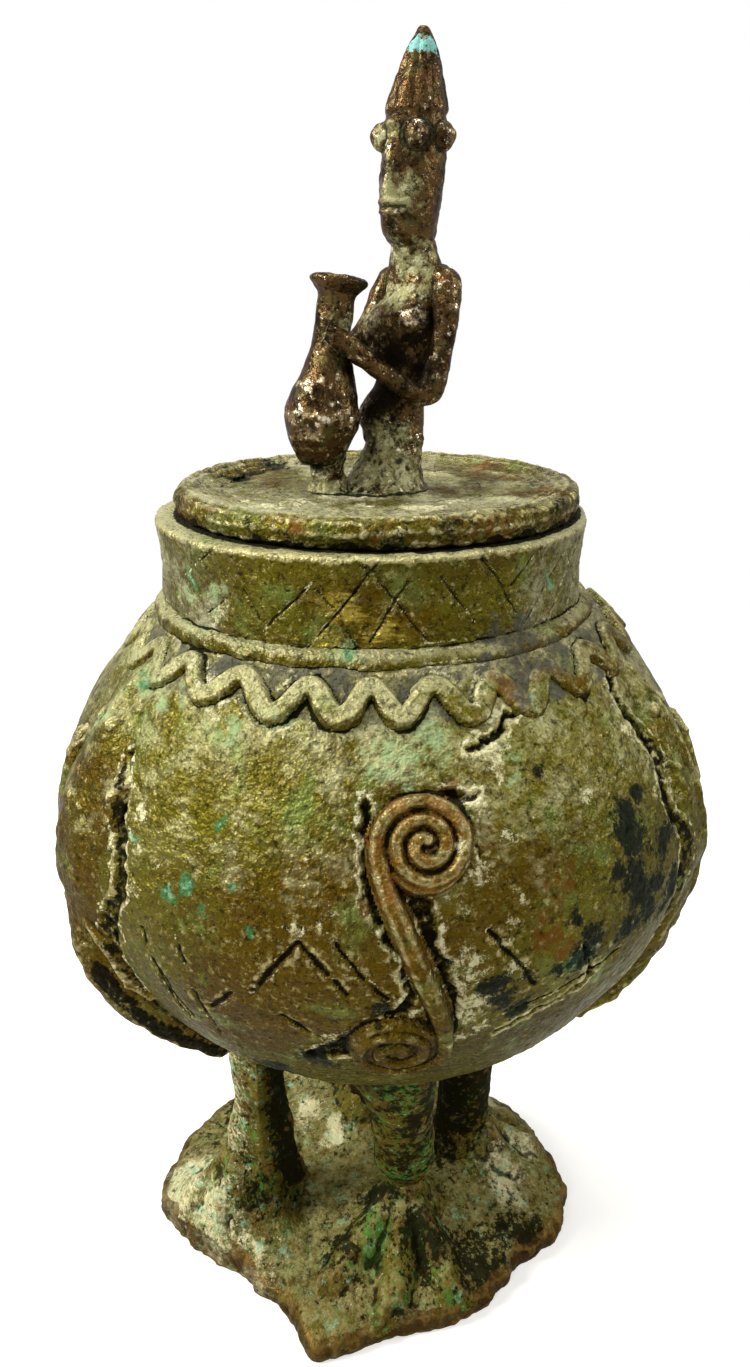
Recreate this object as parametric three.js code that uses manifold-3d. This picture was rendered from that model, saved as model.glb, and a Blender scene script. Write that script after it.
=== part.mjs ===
// Bronze lidded container in a West African cast style: a squat globe on four toed legs and a
// ragged foot plate, with raised ornament, and a lid whose knob is a half figure holding a jar.
// Millimetres, +Z up. The origin is on the resting plane, under the axis of the globe.
import * as THREE from "three";
import { mergeVertices } from "three/addons/utils/BufferGeometryUtils.js";
import Module from "manifold-3d";

const wasm = await Module();
wasm.setup();

// Clearances
const seatGap = 0.3; // between two pieces that touch
const lidPlay = 0.8; // radial play of the lid's locating ring in the neck

// Foot plate: its outline goes through these points, each at an azimuth and a reach from the axis
const plateOutline = [
  { azimuth: 35, reach: 60 },
  { azimuth: 88, reach: 58 },
  { azimuth: 140, reach: 67 },
  { azimuth: 182, reach: 70 }, // left corner
  { azimuth: 217, reach: 51.5 },
  { azimuth: 236, reach: 49.5 },
  { azimuth: 254, reach: 59 }, // front corner
  { azimuth: 284, reach: 48.5 },
  { azimuth: 303, reach: 51.5 },
  { azimuth: 328, reach: 51.5 },
  { azimuth: 354, reach: 62 }, // right corner
];
const plateEdge = 8; // thickness at the edge
const plateDome = 5; // rise from the edge to the middle
const plateBevel = 2; // rounding of the edge, in plan
const plateRings = [1, 0.72, 0.4]; // shares of the reach where the dome's rings lie

// Legs: each goes from a hip under the globe to an ankle over the plate, and its foot has three toes
const legs = [
  { name: "front", hip: [279, 35], ankle: [302, 17], toeAzimuth: 262, toeLength: 33 },
  { name: "right", hip: [18, 34], ankle: [20, 31], toeAzimuth: 8, toeLength: 23 },
  { name: "back", hip: [99, 35], ankle: [96, 27], toeAzimuth: 90, toeLength: 26 },
  { name: "left", hip: [193, 37], ankle: [194, 37], toeAzimuth: 184, toeLength: 22 },
]; // hip and ankle by azimuth and reach
const hipWidth = 21;
const hipDepth = 17;
const kneeWidth = 17;
const kneeDepth = 15;
const kneeShare = 0.55; // of the way from the ankle to the hip
const calfWidth = 14.2;
const calfDepth = 13.4;
const calfShare = 0.25;
const ankleWidth = 12;
const ankleDepth = 12;
const ankleHeight = 13; // top of the foot over the plate's crown
const heelFlare = 2; // how much further the heel reaches than the ankle, and how high it stands
const toeSpread = 34; // degrees between neighbouring toes
const toeRootWidth = 10;
const toeTipWidth = 4.5;
const toeRootHeight = 9;
const toeTipHeight = 4;
const toeArch = 1.6; // how much a toe rises between its root and its tip
const toeSink = 6; // how far a toe's blank reaches below the plate's crown before it is cut

// Globe
const globeRadius = 86;
const equatorZ = 152;
const globeFootZ = 72;
const shoulderZ = 208;
const shoulderRadius = 56.5;
const globeWall = 4.5;
const shoulderPower = 1.87; // fullness of the shoulder's curve
const bellyPower = 1.73; // fullness of the lower half: 2 would be an ellipse

// Neck and the roll at its foot
const neckFootRadius = 53;
const neckWall = 6; // at the foot
const neckBore = neckFootRadius - neckWall; // radius
const waistTaper = 0.6; // how much narrower the neck is at its waist than at its foot
const neckWaistRadius = neckFootRadius - waistTaper;
const lipFlare = 0.8; // and how much wider at its lip
const lipRadius = neckFootRadius + lipFlare;
const neckHeight = 23.7; // from the shoulder's edge to the lip
const lipRounding = 1.6;
const rollWidth = 3.6;
const rollHeight = 4.4;

// Wavy coil on the shoulder
const waveCount = 24;
const waveCrest = 4.6; // from the shoulder's edge to the middle of the coil at a crest
const waveTrough = 11.4;
const coilWidth = 4.2;
const coilHeight = 2.6;

// Scrolls: an S of one band, its two ends rolled into flat spirals
const scrolls = [
  { name: "front_scroll", azimuth: 277 },
  { name: "right_rear_scroll", azimuth: 37 },
  { name: "left_rear_scroll", azimuth: 157 },
];
const scrollClear = 12.5; // from the wavy coil down to the upper spiral
const upperSpiralRadius = 9.8;
const upperSpiralTurns = 2.3;
const lowerSpiralRadius = 10.4;
const lowerSpiralTurns = 2;
const spiralEye = 1.5; // radius where a spiral starts
const spiralDrop = 51.2; // from the upper middle down to the lower one, along the globe
const spiralShift = -5.6; // from the upper middle sideways to the lower one
const stemUpperPull = 13; // how far below the upper middle the stem starts to cross over
const stemLowerPull = 17; // and how far above the lower middle it has crossed
const bandWidth = 3.4;
const bandHeight = 2.8;

// Lizards: stations along the spine, measured upward from the middle of the body
const lizards = [
  { name: "right_lizard", azimuth: 337, relief: 0.7, swing: -26, rump: [12, 2.1], tail: [7, 2.4] },
  { name: "rear_lizard", azimuth: 97, relief: 1, swing: 26, rump: [12, 3], tail: [8, 3] },
  { name: "left_lizard", azimuth: 212, relief: 1, swing: 14, rump: [15, 7], tail: [14, 8.5] },
]; // relief scales the body's heights; rump and tail have their own widths and heights
const tailReach = 68; // from the middle of the body down to the tail's tip, which swings aside
const tailMiddle = 44; // to the tail's middle
const rumpReach = 24; // and to the rump
const lizardClear = 1.5; // from the wavy coil down to the snout
const lizardSpine = [
  { along: -13, width: 18, height: 2.9 }, // hips
  { along: 0, width: 23, height: 3.2 },
  { along: 13, width: 19, height: 3 }, // shoulders
  { along: 21, width: 13, height: 2.6 },
  { along: 29, width: 16, height: 3 }, // head
  { along: 44, width: 5, height: 1.8 }, // snout
];
const limbWidth = 5;
const limbHeight = 2.6;
const forelimb = [ // sideways from the spine and along it
  { side: 6, along: 12 },
  { side: 16, along: 8 },
  { side: 17, along: 19 },
];
const hindlimb = [
  { side: 6, along: -15 },
  { side: 16, along: -20 },
  { side: 16, along: -32 },
];
const pawToeLength = 6;
const pawToeWidth = 2.2;
const pawTipWidth = 1.3;
const pawToeHeight = 2;
const pawTipHeight = 1;
const pawToeSpread = 38; // degrees

// Lid
const lidRadius = 50.6;
const lidRimWidth = 6.5;
const lidRimHeight = 7.1;
const lidPlateHeight = 5.2;
const lidDish = 0.8; // how much lower the plate's top is near the rim than at the middle
const lidLevelRadius = 26; // of the plate's level middle
const rimRounding = 1.4; // of the rim's outer corners, in plan
const rimSideFoot = 2.2; // heights where the rim's upright side starts and ends
const rimSideTop = 4.8;
const rimCrownDrop = 0.6; // from the rim's crown to its outer corner
const ringDepth = 7; // locating ring below the lid
const ringWall = 3.4;

// Figure on the lid, in its own frame: it faces -Y there, and its group is turned on the lid
const figureX = 4.5;
const figureY = -1;
const figureTurn = -40; // degrees
const moundHeight = 11.6;
const moundSections = [ // share of the mound's height, middle and half sizes across and front to back
  { rise: 0, x: -1.6, y: -1.6, across: 10.5, deep: 9.5 },
  { rise: 0.35, x: -1.2, y: -1.2, across: 8.9, deep: 8 },
  { rise: 1, x: 0, y: 0, across: 7.4, deep: 6.4 },
];
const neckTop = 56.5; // of the torso, over the lid's plate
const torsoSections = [
  { z: 17, x: 0.3, y: 0.7, across: 6.7, deep: 5.6 },
  { z: 25, x: 0.8, y: 2, across: 6.3, deep: 5.1 },
  { z: 34, x: 1.3, y: 3.5, across: 7.2, deep: 5.5 },
  { z: 43, x: 1.7, y: 4.8, across: 8.4, deep: 5.3 },
  { z: 49.5, x: 1.8, y: 5.2, across: 8.2, deep: 4.8 },
  { z: 52.4, x: 1.8, y: 5, across: 6.6, deep: 5 },
];
const neckAcross = 5.9;
const neckDeep = 5.6;
const neckX = 1.7;
const neckY = 4.4;
const breastRadius = 3;
const breastSide = 3.6; // from the middle line
const breastZ = 40.5;
const breastSink = 0.4; // of its middle behind the chest's front
const lapRadius = 4.6; // the raised knee beside the jar
const lapSide = 3;
const headHeight = 44.5;
const headSections = [ // share of the head's height, middle and half sizes
  { rise: 0, x: 1.6, y: 3, across: 5, deep: 5.4 },
  { rise: 0.08, x: 1.5, y: 2.6, across: 6.2, deep: 7 },
  { rise: 0.25, x: 1.4, y: 3.5, across: 7.3, deep: 7.8 },
  { rise: 0.43, x: 1.4, y: 4.5, across: 7.6, deep: 7.9 },
  { rise: 0.57, x: 1.6, y: 4.8, across: 7.2, deep: 7.3 },
  { rise: 0.7, x: 1.9, y: 5, across: 6, deep: 6 },
  { rise: 0.82, x: 2.3, y: 5.3, across: 4.2, deep: 4.2 },
  { rise: 0.93, x: 2.5, y: 5.6, across: 2.5, deep: 2.5 },
  { rise: 1, x: 2.6, y: 5.8, across: 1.3, deep: 1.3 },
];
const eyeLevel = 0.5; // shares of the head's height
const noseLevel = 0.25;
const lipsLevel = 0.167;
const capLevel = 0.62;
const eyeTurn = 42; // degrees from the middle of the face
const earTurn = 100;
const capRibs = 6; // ridges that run up the pointed cap
const ribDepth = 0.45;
const bossRadius = 2.7; // eye and ear pellets
const noseWidth = 4.4;
const noseReach = 2; // how far the nose stands out
const bridgeWidth = 2.6;
const bridgeReach = 0.8;
const lipsWidth = 8;
const lipHeight = 1.7; // of one lip
const lipReach = 1.3;
const lipSpacing = 2.1; // between the middles of the two
const armRadius = 2.7;
const wristRadius = 1.9;
const leftArm = [
  { x: 10.8, y: 5.2, z: 49 },
  { x: 12, y: 2.4, z: 35 },
  { x: 10.8, y: -0.8, z: 23 },
  { x: 3.8, y: -9, z: 28 },
  { x: -2.6, y: -17.4, z: 36 },
];
const rightArm = [
  { x: -7.2, y: 5.3, z: 49 },
  { x: -8.8, y: 1.8, z: 40 },
  { x: -9.4, y: -4.2, z: 34.6 },
  { x: -10.4, y: -10.8, z: 33 },
];

// Jar that the figure holds, leaning towards it, and the lump that it stands on
const jarX = -8.8; // where its axis crosses the height of the belly
const jarY = -17.2;
const jarBellyZ = 17;
const jarLean = 8.7; // degrees from upright
const jarLeanTowards = 67; // azimuth of the lean
const jarProfile = [ // radius, and height from the belly along the jar's axis
  { radius: 4.2, rise: -10.4 },
  { radius: 6.9, rise: -6.4 },
  { radius: 9.1, rise: 0 },
  { radius: 8, rise: 6 },
  { radius: 5.4, rise: 13.5 },
  { radius: 4.1, rise: 20 },
  { radius: 4.2, rise: 27 },
  { radius: 5.9, rise: 33 }, // lip
];
const jarLip = 1.4; // wall at the lip
const jarCup = 3.2; // depth of the open mouth
const lumpX = -8.4;
const lumpY = -15.8;
const lumpRadius = 3.9;
const lumpFlare = 1.6; // how much wider the lump is where it meets the lid
const lumpFlareHeight = 4.2;

// Facets
const turnedFacets = 40;
const figureFacets = 16;
const headFacets = 18;
const ballFacets = 8;
const toeStations = 5;
const spineStations = 19;
const limbStations = 4;
const armSides = 8;
const armSteps = 3; // between two points of an arm's route
const scrollStemSteps = 7;
const plateFacets = 45;
const stepsPerWave = 6;
const stepsPerTurn = 12; // of a spiral

const weld = 1e-4;
const { degToRad, lerp } = THREE.MathUtils;

// A closed body from points and triangles
function body(points, faces) {
  const geometry = new THREE.BufferGeometry();
  const flat = points.flatMap((p) => [p.x, p.y, p.z]);
  geometry.setAttribute("position", new THREE.Float32BufferAttribute(flat, 3));
  geometry.setIndex(faces);
  return geometry;
}

// A body lofted through rings with equal counts, which turn left seen from the last ring.
// It is capped at both ends, or goes round and closes on itself.
function loft(rings, round = false) {
  const count = rings[0].length;
  const points = rings.flat();
  const faces = [];
  const strips = round ? rings.length : rings.length - 1;
  for (let i = 0; i < strips; i++) {
    const low = i * count;
    const high = ((i + 1) % rings.length) * count;
    for (let j = 0; j < count; j++) {
      const k = (j + 1) % count;
      faces.push(low + j, low + k, high + k, low + j, high + k, high + j);
    }
  }
  if (!round) {
    [rings[0], rings.at(-1)].forEach((ring, end) => {
      const first = end * (rings.length - 1) * count;
      const middle = points.length;
      points.push(ring.reduce((sum, p) => sum.add(p), new THREE.Vector3()).divideScalar(count));
      for (let j = 0; j < count; j++) {
        const edge = [first + j, first + ((j + 1) % count)];
        faces.push(middle, ...(end ? edge : edge.reverse()));
      }
    });
  }
  return body(points, faces);
}

// A body turned about Z from a profile of [radius, z] that runs up its outer side
function turned(profile, facets = turnedFacets) {
  const points = profile.map(([radius, z]) => new THREE.Vector2(radius, z));
  return new THREE.LatheGeometry(points, facets).rotateX(Math.PI / 2);
}

// Solids for joining and cutting, and their way back to a geometry
function solid(geometry) {
  const bare = geometry.clone();
  bare.deleteAttribute("normal");
  bare.deleteAttribute("uv");
  const merged = mergeVertices(bare, weld);
  const vertProperties = merged.getAttribute("position").array;
  const triVerts = new Uint32Array(merged.index.array);
  return new wasm.Manifold(new wasm.Mesh({ numProp: 3, vertProperties, triVerts }));
}

function shape(joined) {
  const mesh = joined.getMesh();
  const geometry = new THREE.BufferGeometry();
  geometry.setAttribute("position", new THREE.BufferAttribute(mesh.vertProperties, 3));
  geometry.setIndex(new THREE.BufferAttribute(mesh.triVerts, 1));
  return geometry;
}

const join = (geometries) => geometries.map(solid).reduce((all, next) => all.add(next));

function polar(azimuth, reach, z = 0) {
  const angle = degToRad(azimuth);
  return new THREE.Vector3(reach * Math.cos(angle), reach * Math.sin(angle), z);
}

// An upright ring of an oval section, turning left seen from above
function ovalRing({ x, y, across, deep }, z, facets, swell = 0, heading = 0, ripple = () => 0) {
  return Array.from({ length: facets }, (_, i) => {
    const angle = (2 * Math.PI * i) / facets;
    const out = swell + ripple(angle);
    const side = new THREE.Vector3((across + out) * Math.cos(angle), (deep + out) * Math.sin(angle), z);
    return side.applyAxisAngle(new THREE.Vector3(0, 0, 1), heading).add(new THREE.Vector3(x, y, 0));
  });
}

// Bands and limbs: a section swept along a line on a surface. Each point of the line has its place
// {u, w} on the surface, a width and a height, and place() takes it to space.
const pointedSection = [[-1, 0], [1, 0], [0, 1]];
const narrowSection = [[-1, 0], [1, 0], [0.75, 0.7], [0, 1], [-0.75, 0.7]];
const broadSection = [[-1, 0], [0, 0], [1, 0], [0.85, 0.55], [0.4, 0.95], [-0.4, 0.95], [-0.85, 0.55]];

function band(line, section, place, lap = 0) {
  const last = line.length - 1;
  const rings = line.map(({ u, w, width, height }, i) => {
    const before = lap ? line[(i + last) % line.length] : line[Math.max(i - 1, 0)];
    const after = lap ? line[(i + 1) % line.length] : line[Math.min(i + 1, last)];
    const du = after.u - before.u + (after.u < before.u && lap ? lap : 0);
    const dw = after.w - before.w;
    const step = Math.hypot(du, dw);
    return section.map(([side, rise]) => {
      const off = (side * width) / 2 / step;
      return place(u - dw * off, w + du * off, rise * height);
    });
  });
  return loft(rings, lap > 0);
}

// Half of the globe's outline, from its foot up to the shoulder's edge
function globeCurve(swell, edgeRadius, lowSteps = 9, highSteps = 6) {
  const radius = globeRadius + swell;
  const drop = equatorZ - globeFootZ + swell;
  const curve = [];
  for (let i = 0; i <= lowSteps; i++) {
    const angle = (Math.PI / 2) * (1 - i / lowSteps);
    const out = i ? Math.cos(angle) ** (2 / bellyPower) : 0;
    curve.push([radius * out, equatorZ - drop * Math.sin(angle) ** (2 / bellyPower)]);
  }
  for (let i = 1; i <= highSteps; i++) {
    const rise = i / highSteps;
    const z = lerp(equatorZ, shoulderZ, rise);
    curve.push([radius - (radius - edgeRadius) * rise ** shoulderPower, z]);
  }
  return curve;
}

// The globe's surface by the distance down from the shoulder's edge
const meridian = globeCurve(0, shoulderRadius, 90, 60).reverse();

function globeAt(down) {
  let left = down;
  for (let i = 0; i < meridian.length - 1; i++) {
    const [r0, z0] = meridian[i];
    const [r1, z1] = meridian[i + 1];
    const length = Math.hypot(r1 - r0, z1 - z0);
    if (left <= length || i === meridian.length - 2) {
      const t = left / length;
      return { r: lerp(r0, r1, t), z: lerp(z0, z1, t), outR: (z0 - z1) / length, outZ: (r1 - r0) / length };
    }
    left -= length;
  }
}

function onGlobe(angle, down, height) {
  const { r, z, outR, outZ } = globeAt(down);
  const lift = seatGap + height;
  const reach = r + outR * lift;
  return new THREE.Vector3(reach * Math.cos(angle), reach * Math.sin(angle), z + outZ * lift);
}

// A flat drawing laid on the globe: u to the right and w up from a point below the shoulder's edge
function layOn(azimuth, middle) {
  return (u, w, height) => onGlobe(degToRad(azimuth) + u / globeAt(middle - w).r, middle - w, height);
}

function globe() {
  const inner = globeCurve(-globeWall, neckBore, 6, 4).reverse();
  return turned([...globeCurve(0, shoulderRadius), ...inner]);
}

function globeBlank(swell) {
  return turned([...globeCurve(swell, shoulderRadius + swell), [0, shoulderZ]]);
}

// Height of the globe's underside at a reach from the axis
function undersideZ(reach) {
  const share = Math.min(reach / globeRadius, 1) ** bellyPower;
  return equatorZ - (equatorZ - globeFootZ) * (1 - share) ** (1 / bellyPower);
}

// Foot plate
function plate(lift = 0) {
  const corners = plateOutline.map(({ azimuth, reach }) => polar(azimuth, reach));
  const outline = new THREE.CatmullRomCurve3(corners, true).getPoints(plateFacets).slice(0, plateFacets);
  const ring = (inset, z) => outline.map((p) => p.clone().setLength(p.length() - inset).setZ(z + lift));
  const dome = (share) => outline.map((p) => {
    const rise = plateDome * (1 - share ** 2);
    return p.clone().setLength((p.length() - plateBevel) * share).setZ(plateEdge + rise + lift);
  });
  return loft([ring(plateBevel, 0), ring(0, plateEdge / 2), ...plateRings.map(dome)]);
}

const plateCrown = plateEdge + plateDome;
const ankleZ = plateCrown + ankleHeight;

// Foot: an ankle and three toes that lie on the plate
function foot({ ankle: place, toeAzimuth, toeLength }) {
  const middle = polar(...place);
  const heading = degToRad(toeAzimuth);
  const ankle = { x: middle.x, y: middle.y, across: ankleDepth / 2, deep: ankleWidth / 2 };
  const stem = loft([
    ovalRing(ankle, plateCrown - toeSink, figureFacets, heelFlare, heading),
    ovalRing(ankle, plateCrown + heelFlare, figureFacets, heelFlare, heading),
    ovalRing(ankle, ankleZ, figureFacets, 0, heading),
  ]);
  const toes = [-1, 0, 1].map((side) => {
    const direction = polar(toeAzimuth + side * toeSpread, 1);
    const line = Array.from({ length: toeStations }, (_, i) => {
      const t = i / (toeStations - 1);
      const arch = toeArch * Math.sin(Math.PI * t);
      return {
        u: middle.x + direction.x * toeLength * t,
        w: middle.y + direction.y * toeLength * t,
        width: lerp(toeRootWidth, toeTipWidth, t),
        height: toeSink + lerp(toeRootHeight, toeTipHeight, t) + arch - plateDome * t ** 2,
      };
    });
    const onPlate = (u, w, height) => new THREE.Vector3(u, w, plateCrown - toeSink + height);
    return band(line, narrowSection, onPlate);
  });
  return shape(join([stem, ...toes]).subtract(solid(plate(seatGap))));
}

// Leg: oval sections from the ankle up to the hip, which the globe's underside cuts
function leg({ hip: [hipAzimuth, hipReach], ankle: place, toeAzimuth }) {
  const hip = polar(hipAzimuth, hipReach, undersideZ(hipReach + hipDepth / 2) + seatGap);
  const ankle = polar(...place, ankleZ + seatGap);
  const heading = degToRad(toeAzimuth);
  const sections = [
    { t: 0, across: ankleDepth, deep: ankleWidth },
    { t: calfShare, across: calfDepth, deep: calfWidth },
    { t: kneeShare, across: kneeDepth, deep: kneeWidth },
    { t: 1, across: hipDepth, deep: hipWidth },
  ];
  const rings = sections.map(({ t, across, deep }) => {
    const { x, y, z } = ankle.clone().lerp(hip, t);
    return ovalRing({ x, y, across: across / 2, deep: deep / 2 }, z, figureFacets, 0, heading);
  });
  return shape(solid(loft(rings)).subtract(solid(globeBlank(seatGap))));
}

// Neck with its flared lip, standing on the shoulder, and the roll that covers the joint
const neckFootZ = shoulderZ + seatGap;
const lipZ = shoulderZ + neckHeight;

function neck() {
  const waistZ = (neckFootZ + lipZ) / 2;
  return turned([
    [neckBore, neckFootZ],
    [neckFootRadius, neckFootZ],
    [neckWaistRadius, waistZ],
    [lipRadius, lipZ - lipRounding],
    [lipRadius - lipRounding, lipZ],
    [neckBore, lipZ],
    [neckBore, neckFootZ],
  ]);
}

function neckRoll() {
  const inner = neckFootRadius + seatGap;
  const arcSteps = 3;
  const arc = Array.from({ length: arcSteps + 1 }, (_, i) => {
    const angle = (Math.PI / 2) * (i / arcSteps);
    return [inner + rollWidth * Math.cos(angle), neckFootZ + rollHeight * Math.sin(angle)];
  });
  return turned([[inner, neckFootZ], ...arc, [inner, neckFootZ]]);
}

// Wavy coil that goes round the shoulder without an end
const coilFootDown = waveTrough + coilWidth / 2;

function wavyCoil() {
  const middle = (waveCrest + waveTrough) / 2;
  const swing = (waveTrough - waveCrest) / 2;
  const radius = globeAt(middle).r;
  const lap = 2 * Math.PI * radius;
  const steps = waveCount * stepsPerWave;
  const line = Array.from({ length: steps }, (_, i) => ({
    u: (lap * i) / steps,
    w: swing * Math.cos((2 * Math.PI * waveCount * i) / steps),
    width: coilWidth,
    height: coilHeight,
  }));
  return band(line, narrowSection, (u, w, height) => onGlobe(u / radius, middle - w, height), lap);
}

// S-scroll: out of the upper spiral on its left, down the stem, and into the lower one on its right
function scroll(azimuth) {
  const point = (u, w) => ({ u, w, width: bandWidth, height: bandHeight });
  const upperSteps = Math.round(upperSpiralTurns * stepsPerTurn);
  const lowerSteps = Math.round(lowerSpiralTurns * stepsPerTurn);
  const line = [];
  for (let i = 0; i <= upperSteps; i++) {
    const t = i / upperSteps;
    const angle = Math.PI - 2 * Math.PI * upperSpiralTurns * (1 - t);
    const radius = lerp(spiralEye, upperSpiralRadius, t);
    line.push(point(radius * Math.cos(angle), radius * Math.sin(angle)));
  }
  const stem = new THREE.CubicBezierCurve(
    new THREE.Vector2(-upperSpiralRadius, 0),
    new THREE.Vector2(-upperSpiralRadius, -stemUpperPull),
    new THREE.Vector2(spiralShift + lowerSpiralRadius, stemLowerPull - spiralDrop),
    new THREE.Vector2(spiralShift + lowerSpiralRadius, -spiralDrop),
  );
  for (let i = 1; i < scrollStemSteps; i++) {
    const { x, y } = stem.getPoint(i / scrollStemSteps);
    line.push(point(x, y));
  }
  for (let i = 0; i <= lowerSteps; i++) {
    const t = i / lowerSteps;
    const angle = -2 * Math.PI * lowerSpiralTurns * t;
    const radius = lerp(lowerSpiralRadius, spiralEye, t);
    line.push(point(spiralShift + radius * Math.cos(angle), -spiralDrop + radius * Math.sin(angle)));
  }
  const topDown = coilFootDown + scrollClear;
  return band(line, narrowSection, layOn(azimuth, topDown + bandWidth / 2 + upperSpiralRadius));
}

// Lizard: a spine with its tail bent aside, and four bent limbs with three toes each
function lizard({ azimuth, relief, swing, rump, tail }) {
  const snoutDown = coilFootDown + lizardClear;
  const place = layOn(azimuth, snoutDown + lizardSpine.at(-1).along);
  const tailSections = [
    { along: -tailReach, width: tail[0] / 3, height: tail[1] / 2 },
    { along: -tailMiddle, width: tail[0], height: tail[1] },
    { along: -rumpReach, width: rump[0], height: rump[1] },
  ];
  const trunkSections = lizardSpine.map((s) => ({ ...s, height: s.height * relief }));
  const stations = [...tailSections, ...trunkSections];
  const spine = stations.map(({ along, width, height }) => new THREE.Vector3(along, width, height));
  const sway = (w) => (w < 0 ? swing * (w / tailReach) ** 2 : 0);
  const trunk = new THREE.CatmullRomCurve3(spine).getPoints(spineStations).map(
    ({ x: w, y: width, z: height }) => ({ u: sway(w), w, width, height }),
  );
  const pieces = [band(trunk, broadSection, place)];
  for (const limb of [forelimb, hindlimb]) {
    for (const side of [-1, 1]) {
      const aside = sway(limb[1].along);
      const points = limb.map((p) => new THREE.Vector3(side * p.side + aside, p.along, 0));
      const size = { width: limbWidth, height: limbHeight };
      const route = new THREE.CatmullRomCurve3(points).getPoints(limbStations);
      pieces.push(band(route.map(({ x: u, y: w }) => ({ u, w, ...size })), narrowSection, place));
      const wrist = points[2];
      const ahead = Math.atan2(wrist.y - points[1].y, wrist.x - points[1].x);
      for (const toe of [-1, 0, 1]) {
        const angle = ahead + toe * degToRad(pawToeSpread);
        const start = { u: wrist.x, w: wrist.y, width: pawToeWidth, height: pawToeHeight };
        const end = {
          u: wrist.x + pawToeLength * Math.cos(angle),
          w: wrist.y + pawToeLength * Math.sin(angle),
          width: pawTipWidth,
          height: pawTipHeight,
        };
        pieces.push(band([start, end], pointedSection, place));
      }
    }
  }
  return shape(join(pieces));
}

// Lid: a dished plate inside a thick rolled rim, and a ring that drops into the neck
const lidFootZ = lipZ + seatGap;
const rimInner = lidRadius - lidRimWidth;

function lidPlate() {
  const radius = rimInner - seatGap;
  return turned([
    [0, lidFootZ],
    [radius, lidFootZ],
    [radius, lidFootZ + lidPlateHeight - lidDish],
    [lidLevelRadius, lidFootZ + lidPlateHeight],
    [0, lidFootZ + lidPlateHeight],
  ]);
}

function lidRim() {
  const top = lidFootZ + lidRimHeight;
  return turned([
    [rimInner, lidFootZ],
    [lidRadius - rimRounding, lidFootZ],
    [lidRadius, lidFootZ + rimSideFoot],
    [lidRadius, lidFootZ + rimSideTop],
    [lidRadius - rimRounding, top - rimCrownDrop],
    [lidRadius - lidRimWidth / 2, top],
    [rimInner, lidFootZ + lidPlateHeight - lidDish],
    [rimInner, lidFootZ],
  ]);
}

function lidRing() {
  const outer = neckBore - lidPlay;
  const top = lidFootZ - seatGap;
  const inner = outer - ringWall;
  const foot = top - ringDepth;
  return turned([[inner, foot], [outer, foot], [outer, top], [inner, top], [inner, foot]]);
}

// Figure: sections are lofted upright, and what touches is cut back by the seat gap
function ball(x, y, z, radius) {
  return new THREE.SphereGeometry(radius, ballFacets, ballFacets - 2).translate(x, y, z);
}

function mound(swell = 0) {
  return loft(moundSections.map((s) => ovalRing(s, seatGap + s.rise * moundHeight, figureFacets, swell)));
}

function torso(swell = 0) {
  const foot = { ...moundSections.at(-1) };
  const top = { x: neckX, y: neckY, across: neckAcross, deep: neckDeep };
  const rings = [
    ovalRing(foot, moundHeight + 2 * seatGap - swell, figureFacets, swell),
    ...torsoSections.map((s) => ovalRing(s, s.z, figureFacets, swell)),
    ovalRing(top, neckTop + swell, figureFacets, swell),
  ];
  const chest = torsoSections.find((s) => s.z > breastZ);
  const breasts = [-1, 1].map((side) =>
    ball(chest.x + side * breastSide, chest.y - chest.deep + breastSink, breastZ, breastRadius + swell));
  const waist = torsoSections[0];
  const knee = ball(waist.x - lapSide, waist.y - waist.deep, waist.z, lapRadius + swell);
  return join([loft(rings), ...breasts, knee]);
}

function headMiddle(rise) {
  const above = headSections.findIndex((s) => s.rise >= rise && s.rise > 0);
  const [a, b] = [headSections[above - 1], headSections[above]];
  const t = (rise - a.rise) / (b.rise - a.rise);
  const mix = (key) => lerp(a[key], b[key], t);
  return { x: mix("x"), y: mix("y"), across: mix("across"), deep: mix("deep") };
}

// Head with a pointed, ribbed cap. The face is a plain one laid out by the usual shares of a head.
function head() {
  const footZ = neckTop + seatGap;
  const at = (rise) => footZ + rise * headHeight;
  const rings = headSections.map((s) => {
    const ridge = s.rise > capLevel && s.rise < 1 ? ribDepth : 0;
    return ovalRing(s, at(s.rise), headFacets, 0, 0, (angle) => ridge * Math.cos(capRibs * angle));
  });
  const onHead = (rise, turn, radius) => {
    const s = headMiddle(rise);
    const angle = degToRad(turn - 90);
    return ball(s.x + s.across * Math.cos(angle), s.y + s.deep * Math.sin(angle), at(rise), radius);
  };
  const bosses = [-earTurn, -eyeTurn, eyeTurn, earTurn].map((turn) => onHead(eyeLevel, turn, bossRadius));
  const noseRing = (rise, width, deep) => {
    const s = headMiddle(rise);
    return ovalRing({ x: s.x, y: s.y - s.deep, across: width / 2, deep }, at(rise), ballFacets);
  };
  const nose = [noseRing(noseLevel, noseWidth, noseReach), noseRing(eyeLevel, bridgeWidth, bridgeReach)];
  const lips = [-1, 1].map((side) => {
    const s = headMiddle(lipsLevel);
    const lip = ball(0, 0, 0, 1).scale(lipsWidth / 2, lipReach, lipHeight / 2);
    return lip.translate(s.x, s.y - s.deep, at(lipsLevel) + (side * lipSpacing) / 2);
  });
  return shape(join([loft(rings), ...bosses, loft(nose), ...lips]));
}

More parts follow.
